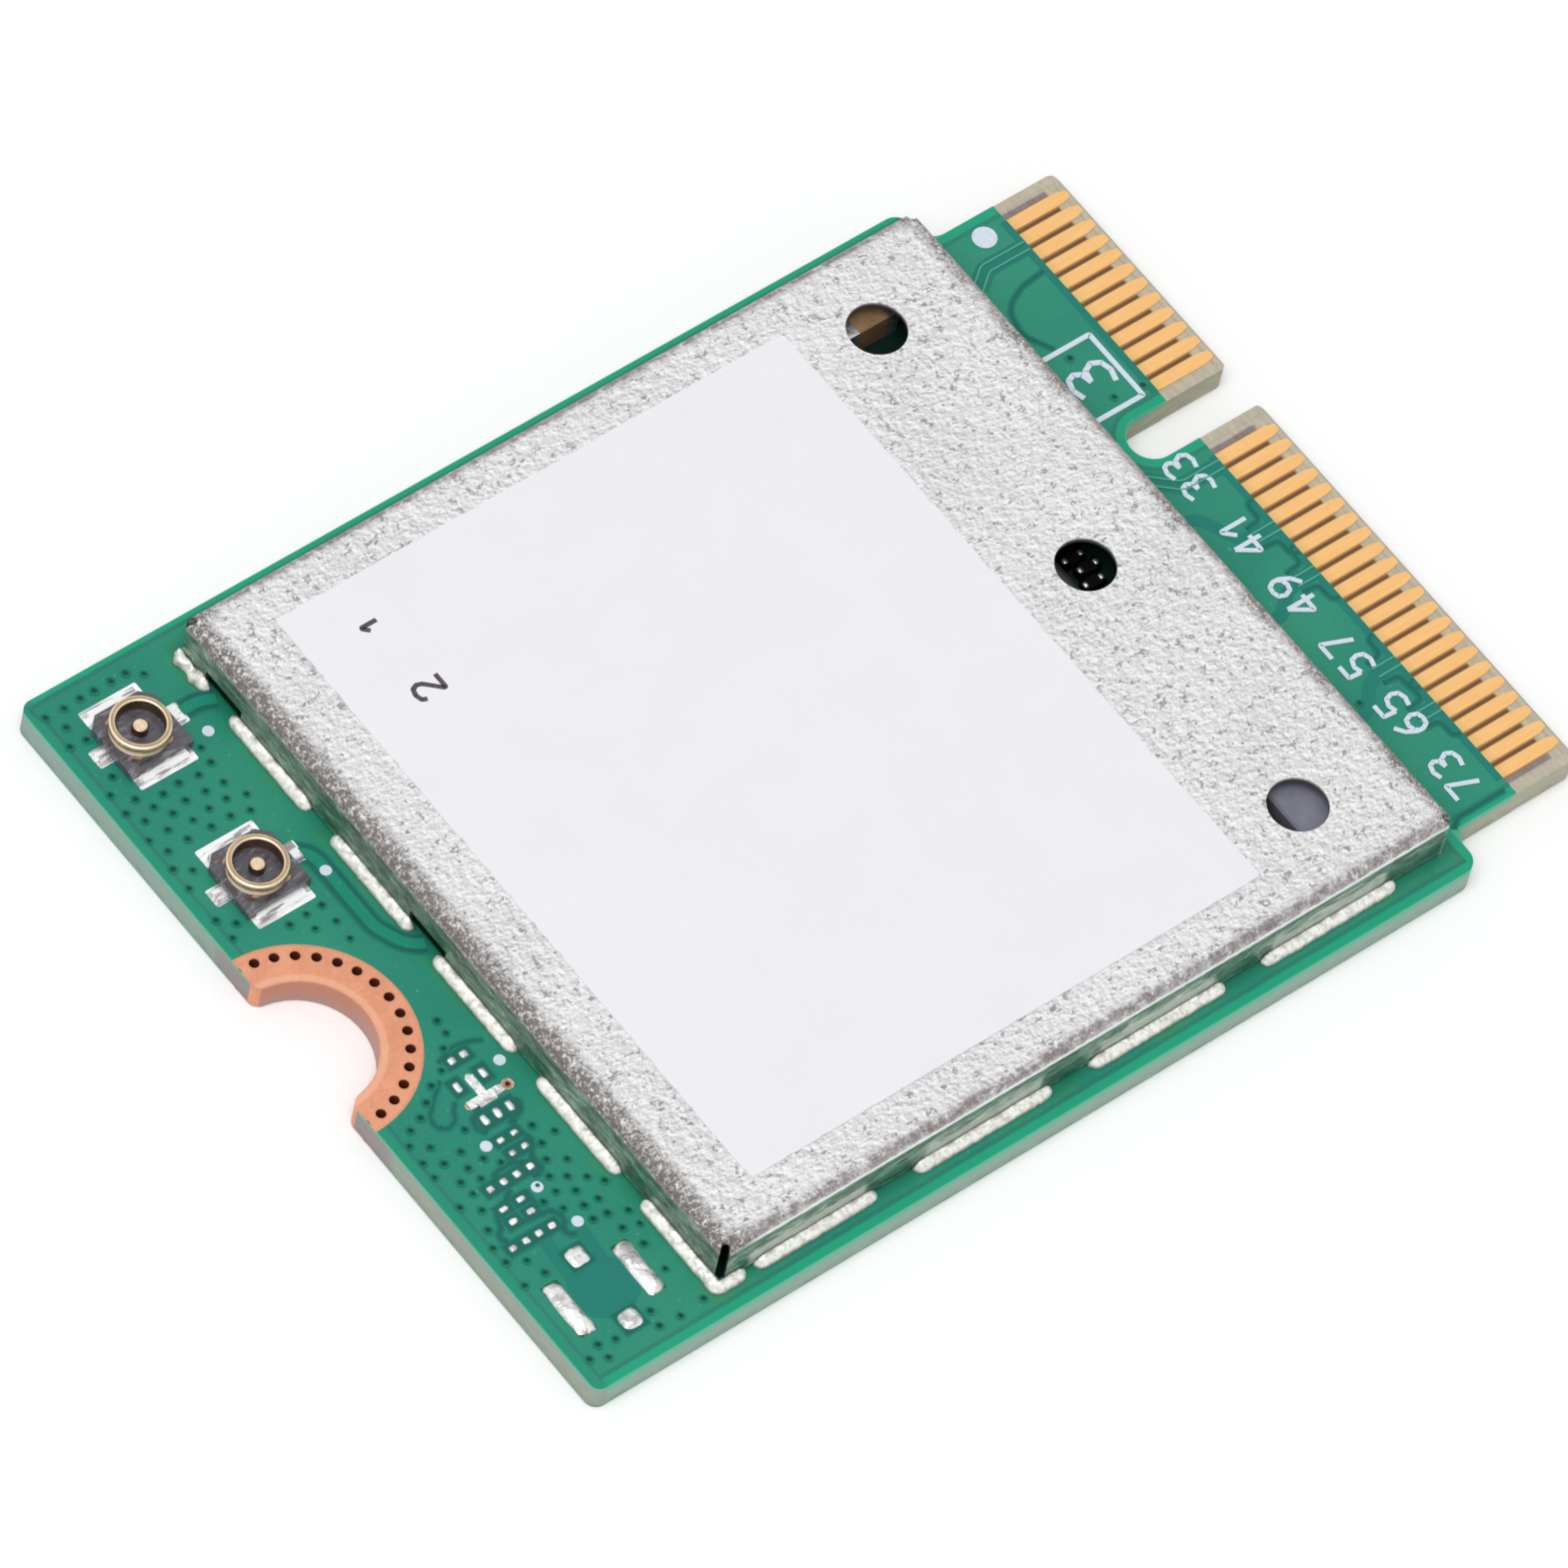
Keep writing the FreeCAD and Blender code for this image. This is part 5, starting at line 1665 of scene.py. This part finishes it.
@dataclass
class LumpySolder:
    """Solder with a real skin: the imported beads, remeshed finely and pushed in and out."""

    voxel: float = 0.028
    lump: float = 0.016
    lump_size: float = 0.28
    ripple: float = 0.010
    ripple_size: float = 0.11
    swell: float = 0.012
    corner: Point = (-10.9, 9.25)
    corner_push: float = 8.0
    low_corner: Point = (-10.55, -9.7)
    low_corner_push: float = 3.5

    def push(self, place: Vector) -> float:
        """How much stronger the lumps are at a place."""
        if place.x < self.corner[0] and place.y > self.corner[1]:
            return self.corner_push
        if place.x < self.low_corner[0] and place.y < self.low_corner[1]:
            return self.low_corner_push
        return 1.0

    def build(self, frame: dict, node: str, name: str) -> None:
        """Makes the lumpy copy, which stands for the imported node.

        Args:
            frame: the loaded model.
            node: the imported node's name.
            name: the piece's name.
        """
        shape = Bench.packed(frame, node)
        bmesh.ops.remove_doubles(shape, verts=shape.verts, dist=MERGE)
        start = Bench.shaped(name + "_start", shape)
        remesh = start.modifiers.new("skin", "REMESH")
        remesh.mode = "VOXEL"
        remesh.voxel_size = self.voxel
        remesh.use_smooth_shade = True
        piece = Bench.applied(start, name)
        places = [vertex.co.copy() for vertex in piece.data.vertices]
        normals = [normal.vector.copy() for normal in piece.data.vertex_normals]
        moved: list[float] = []
        for place, normal in zip(places, normals):
            lump = noise.noise(place / self.lump_size) * self.lump * self.push(place) + self.swell
            ripple = noise.noise(place / self.ripple_size) * self.ripple
            moved.extend(place + normal * (lump + ripple))
        piece.data.vertices.foreach_set("co", moved)
        piece.data.polygons.foreach_set("use_smooth", [True] * len(piece.data.polygons))
        piece.data.update()
        Bench.settle(piece, Slot.SOLDER, SolderSkin("solder skin"))
        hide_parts(node)


@dataclass
class BoardDress:
    """The board with its contacts and lands."""

    def build(self, frame: dict, ribbons: RibbonTool) -> None:
        """Gives the board and its metal their finishes."""
        Bench.dress(frame, CoatedLaminate("coated laminate"), "board")
        Bench.dress(frame, ContactGold("contact gold"), "contacts_top", "contacts_bottom")
        Bench.dress(frame, LandCopper("land copper"), "screw_land")
        feet = Tin("receptacle lands", bright=(0.97, 0.97, 0.97), dull=(0.20, 0.195, 0.20),
                   foot_z=0.775, grain=4.0, stretch=(0.30, 2.6, 1.0))
        Bench.dress(frame, feet, "receptacle_lands")
        SolderedLands().build(frame, "bare_lands", "soldered_lands")
        TeeSolder().build(ribbons)
        Bench.dress(frame, Tin("test lands", grain=3.0, lump=0.008, foot_z=-1.0), "test_lands")


@dataclass
class ShieldDress:
    """The shield can, its solder and its label with the antenna numbers."""

    label_z: float = 2.26
    ink_height: float = 0.004
    ink_proud: float = 0.002
    ink_rise: float = 0.0001
    number_line: float = 0.125
    NUMBERS = ((1, 0.48, -7.27, 7.75), (2, 0.74, -7.03, 5.575))

    def sheet(self, frame: dict) -> None:
        """The label as a sheet whose face lies just under its ink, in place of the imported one."""
        piece = Bench.shaped("label_sheet", Bench.packed(frame, "label"))
        for vertex in piece.data.vertices:
            vertex.co.z = min(vertex.co.z, self.label_z - self.ink_proud)
        Bench.settle(piece, Slot.LABEL, LabelPaper("label paper"))
        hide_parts("label")

    def build(self, frame: dict, ribbons: RibbonTool) -> None:
        """Dresses the shield and prints the label's numbers."""
        Bench.dress(frame, ShieldMetal("shield metal"), "shield_can")
        self.sheet(frame)
        LumpySolder().build(frame, "shield_solder", "solder_beads")
        lines = [line for number, height, foot_x, centre_y in self.NUMBERS
                 for line in StrokeNumbers(height).lines(number, foot_x, centre_y)]
        grey = Ink("label ink", ink=(0.062, 0.050, 0.054), thin=(0.16, 0.135, 0.145)).material()
        level = self.label_z - self.ink_height / 2 - self.ink_rise * (len(lines) - 1)
        ribbons.lay("label_numbers", lines, level, Slot.LABEL, self.ink_rise,
                    width=self.number_line, thickness=self.ink_height, material=grey)


@dataclass
class ReceptacleDress:
    """The two antenna receptacles."""

    centres: tuple[Point, ...] = ((-13.15, 8.83), (-13.15, 4.32))

    def build(self, frame: dict) -> None:
        """Gives each receptacle its finishes."""
        for index, centre in enumerate(self.centres, start=1):
            gold = ReceptacleGold(f"receptacle gold {index}", centre)
            Bench.dress(frame, gold, f"receptacle_{index}_shell", f"receptacle_{index}_contact")
        plastic = GlossyMoulding("receptacle plastic", body=(0.070, 0.066, 0.080),
                                 worn=(0.15, 0.145, 0.165), rough=0.30)
        Bench.dress(frame, plastic, "receptacle_1_housing", "receptacle_2_housing")


@dataclass
class HiddenParts:
    """The packages and chips under the shield, seen through its holes."""

    crown_z: float = 1.10
    crown_depth: float = 0.02
    crown_size: Point = (0.15, 0.19)
    CROWNS = ((7.996, 0.84), (8.146, 0.44), (8.614, 0.44), (7.996, 0.04), (8.464, 0.04),
              (8.464, 0.84))
    FINISHES = (
        (Moulded("package black", body=(0.022, 0.022, 0.024), worn=(0.055, 0.055, 0.058)),
         ("radio_chip", "front_end_module_1", "front_end_module_2", "memory_chip",
          "antenna_switch_1", "antenna_switch_2")),
        (Moulded("package grey", body=(0.19, 0.19, 0.24), worn=(0.29, 0.29, 0.36)),
         ("power_chip",)),
        (Moulded("ceramic dark", body=(0.055, 0.055, 0.060), worn=(0.12, 0.12, 0.125), rough=0.48,
                 grain=9.0),
         ("crystal_base", "power_inductor_1", "power_inductor_2", "power_inductor_3",
          "resistor_bodies")),
        (Moulded("ceramic light", body=(0.62, 0.58, 0.48), worn=(0.74, 0.71, 0.63), grain=9.0),
         ("band_filter_1", "band_filter_2")),
        (CapacitorCeramic("ceramic tan", body=(0.26, 0.15, 0.07), worn=(0.38, 0.26, 0.14),
                          cloud=2.0, cloud_share=0.6, grain_share=0.3, gloss=0.08),
         ("capacitor_bodies",)),
        (PlateMetal("lid metal"), ("crystal_lid",)),
        (ChipEnds("chip ends", foot_z=-1.0, lump=0.02),
         ("capacitor_terminals", "resistor_terminals")),
    )

    def build(self, frame: dict) -> None:
        """Gives the hidden parts their finishes, and some chips a crown of solder."""
        for finish, nodes in self.FINISHES:
            Bench.dress(frame, finish, *nodes)
        shape = bmesh.new()
        domes = SolderedLands(share=1.0, rise=0.045, waver=0.05)
        for centre in self.CROWNS:
            domes.dome(shape, Land([], centre, self.crown_size, self.crown_z - self.crown_depth,
                                   self.crown_z, 1.0))
        bright = Tin("chip solder", bright=(1.0, 1.0, 1.0), dull=(0.8, 0.8, 0.8), foot_z=-1.0,
                     lump=0.0)
        Bench.settle(Bench.shaped("chip_solder", shape), Slot.SOLDER, bright)


@dataclass
class Studio:
    """A pale floor, a white surround, one large soft lamp and the long lens. Sizes in metres."""

    floor_half: float = 0.60
    floor_z: float = -0.00003
    floor_colour: Colour = (0.94, 0.94, 0.945)
    floor_glow: float = 0.09
    white: Colour = (1.0, 1.0, 1.0)
    world_level: float = 0.58
    lamp_size: float = 0.30
    lamp_place: Colour = (-0.16, -0.06, 0.42)
    lamp_power: float = 1.05
    lens_place: Colour = (-0.1522206, -0.1283701, 0.2894434)
    lens_pixels: float = 15148.59
    frame_pixels: float = 1569.0
    sensor: float = 36.0
    clip: Point = (0.01, 10.0)
    right: Colour = (0.78039368, -0.6099781, 0.1375224)
    down: Colour = (-0.45277921, -0.70294105, -0.5485115)
    forward: Colour = (0.43125015, 0.36578763, -0.82475616)

    def camera(self) -> None:
        """Sets the camera at the measured place, turn and focal length."""
        lens = bpy.data.cameras.new("long_lens")
        lens.sensor_width = self.sensor
        lens.sensor_fit = "HORIZONTAL"
        lens.lens = self.lens_pixels * self.sensor / self.frame_pixels
        lens.clip_start, lens.clip_end = self.clip
        camera = Bench.blank("long_lens", lens)
        axes = Matrix((self.right, -Vector(self.down), -Vector(self.forward))).transposed()
        camera.matrix_world = Matrix.Translation(Vector(self.lens_place)) @ axes.to_4x4()
        bpy.context.scene.camera = camera

    def floor(self) -> None:
        """Lays the floor, which keeps the card's shadow and glows only where it is seen."""
        half, z = self.floor_half, self.floor_z
        mesh = Bench.mesh("floor", [(-half, -half, z), (half, -half, z), (half, half, z),
                                    (-half, half, z)], faces=[(0, 1, 2, 3)])
        floor = Bench.blank("floor", mesh)
        material = bpy.data.materials.new("pale floor")
        graph = Graph.cleared(material)
        matt = graph.node("ShaderNodeBsdfDiffuse", values={"Color": self.floor_colour})
        glow = graph.node("ShaderNodeEmission", values={
            "Color": self.white, "Strength": self.floor_glow})
        both = graph.node("ShaderNodeAddShader", values={0: matt, 1: glow})
        pick = graph.node("ShaderNodeMixShader", values={0: graph.seen(), 1: matt, 2: both})
        graph.node("ShaderNodeOutputMaterial", values={"Surface": pick})
        mesh.materials.append(material)

    def light(self) -> None:
        """Sets the white surround, dimmer as a light than as a backdrop, and the soft lamp."""
        world = bpy.data.worlds.new("white surround")
        bpy.context.scene.world = world
        graph = Graph.cleared(world)
        level = self.world_level + graph.seen() * (1.0 - self.world_level)
        sky = graph.node("ShaderNodeBackground", values={"Color": self.white, "Strength": level})
        graph.node("ShaderNodeOutputWorld", values={"Surface": sky})
        lamp = bpy.data.lights.new("soft_lamp", "AREA")
        lamp.shape = "SQUARE"
        lamp.size = self.lamp_size
        lamp.energy = self.lamp_power
        holder = Bench.blank("soft_lamp", lamp)
        holder.location = self.lamp_place
        holder.rotation_euler = (-Vector(self.lamp_place)).to_track_quat("-Z", "Y").to_euler()

    def build(self) -> None:
        """Builds the whole studio."""
        bpy.context.scene.view_settings.view_transform = "Standard"
        self.camera()
        self.floor()
        self.light()


def main() -> None:
    """Loads the card and dresses it."""
    logging.basicConfig(level=logging.INFO, format="%(name)s %(message)s")
    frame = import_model()
    Studio().build()
    ribbons, dots = RibbonTool(), DotTool()
    BoardDress().build(frame, ribbons)
    CoatDetail().build(frame, ribbons, dots)
    PrintedMarks().build(ribbons, dots)
    ShieldDress().build(frame, ribbons)
    ReceptacleDress().build(frame)
    HiddenParts().build(frame)


if __name__ == "__main__":
    main()
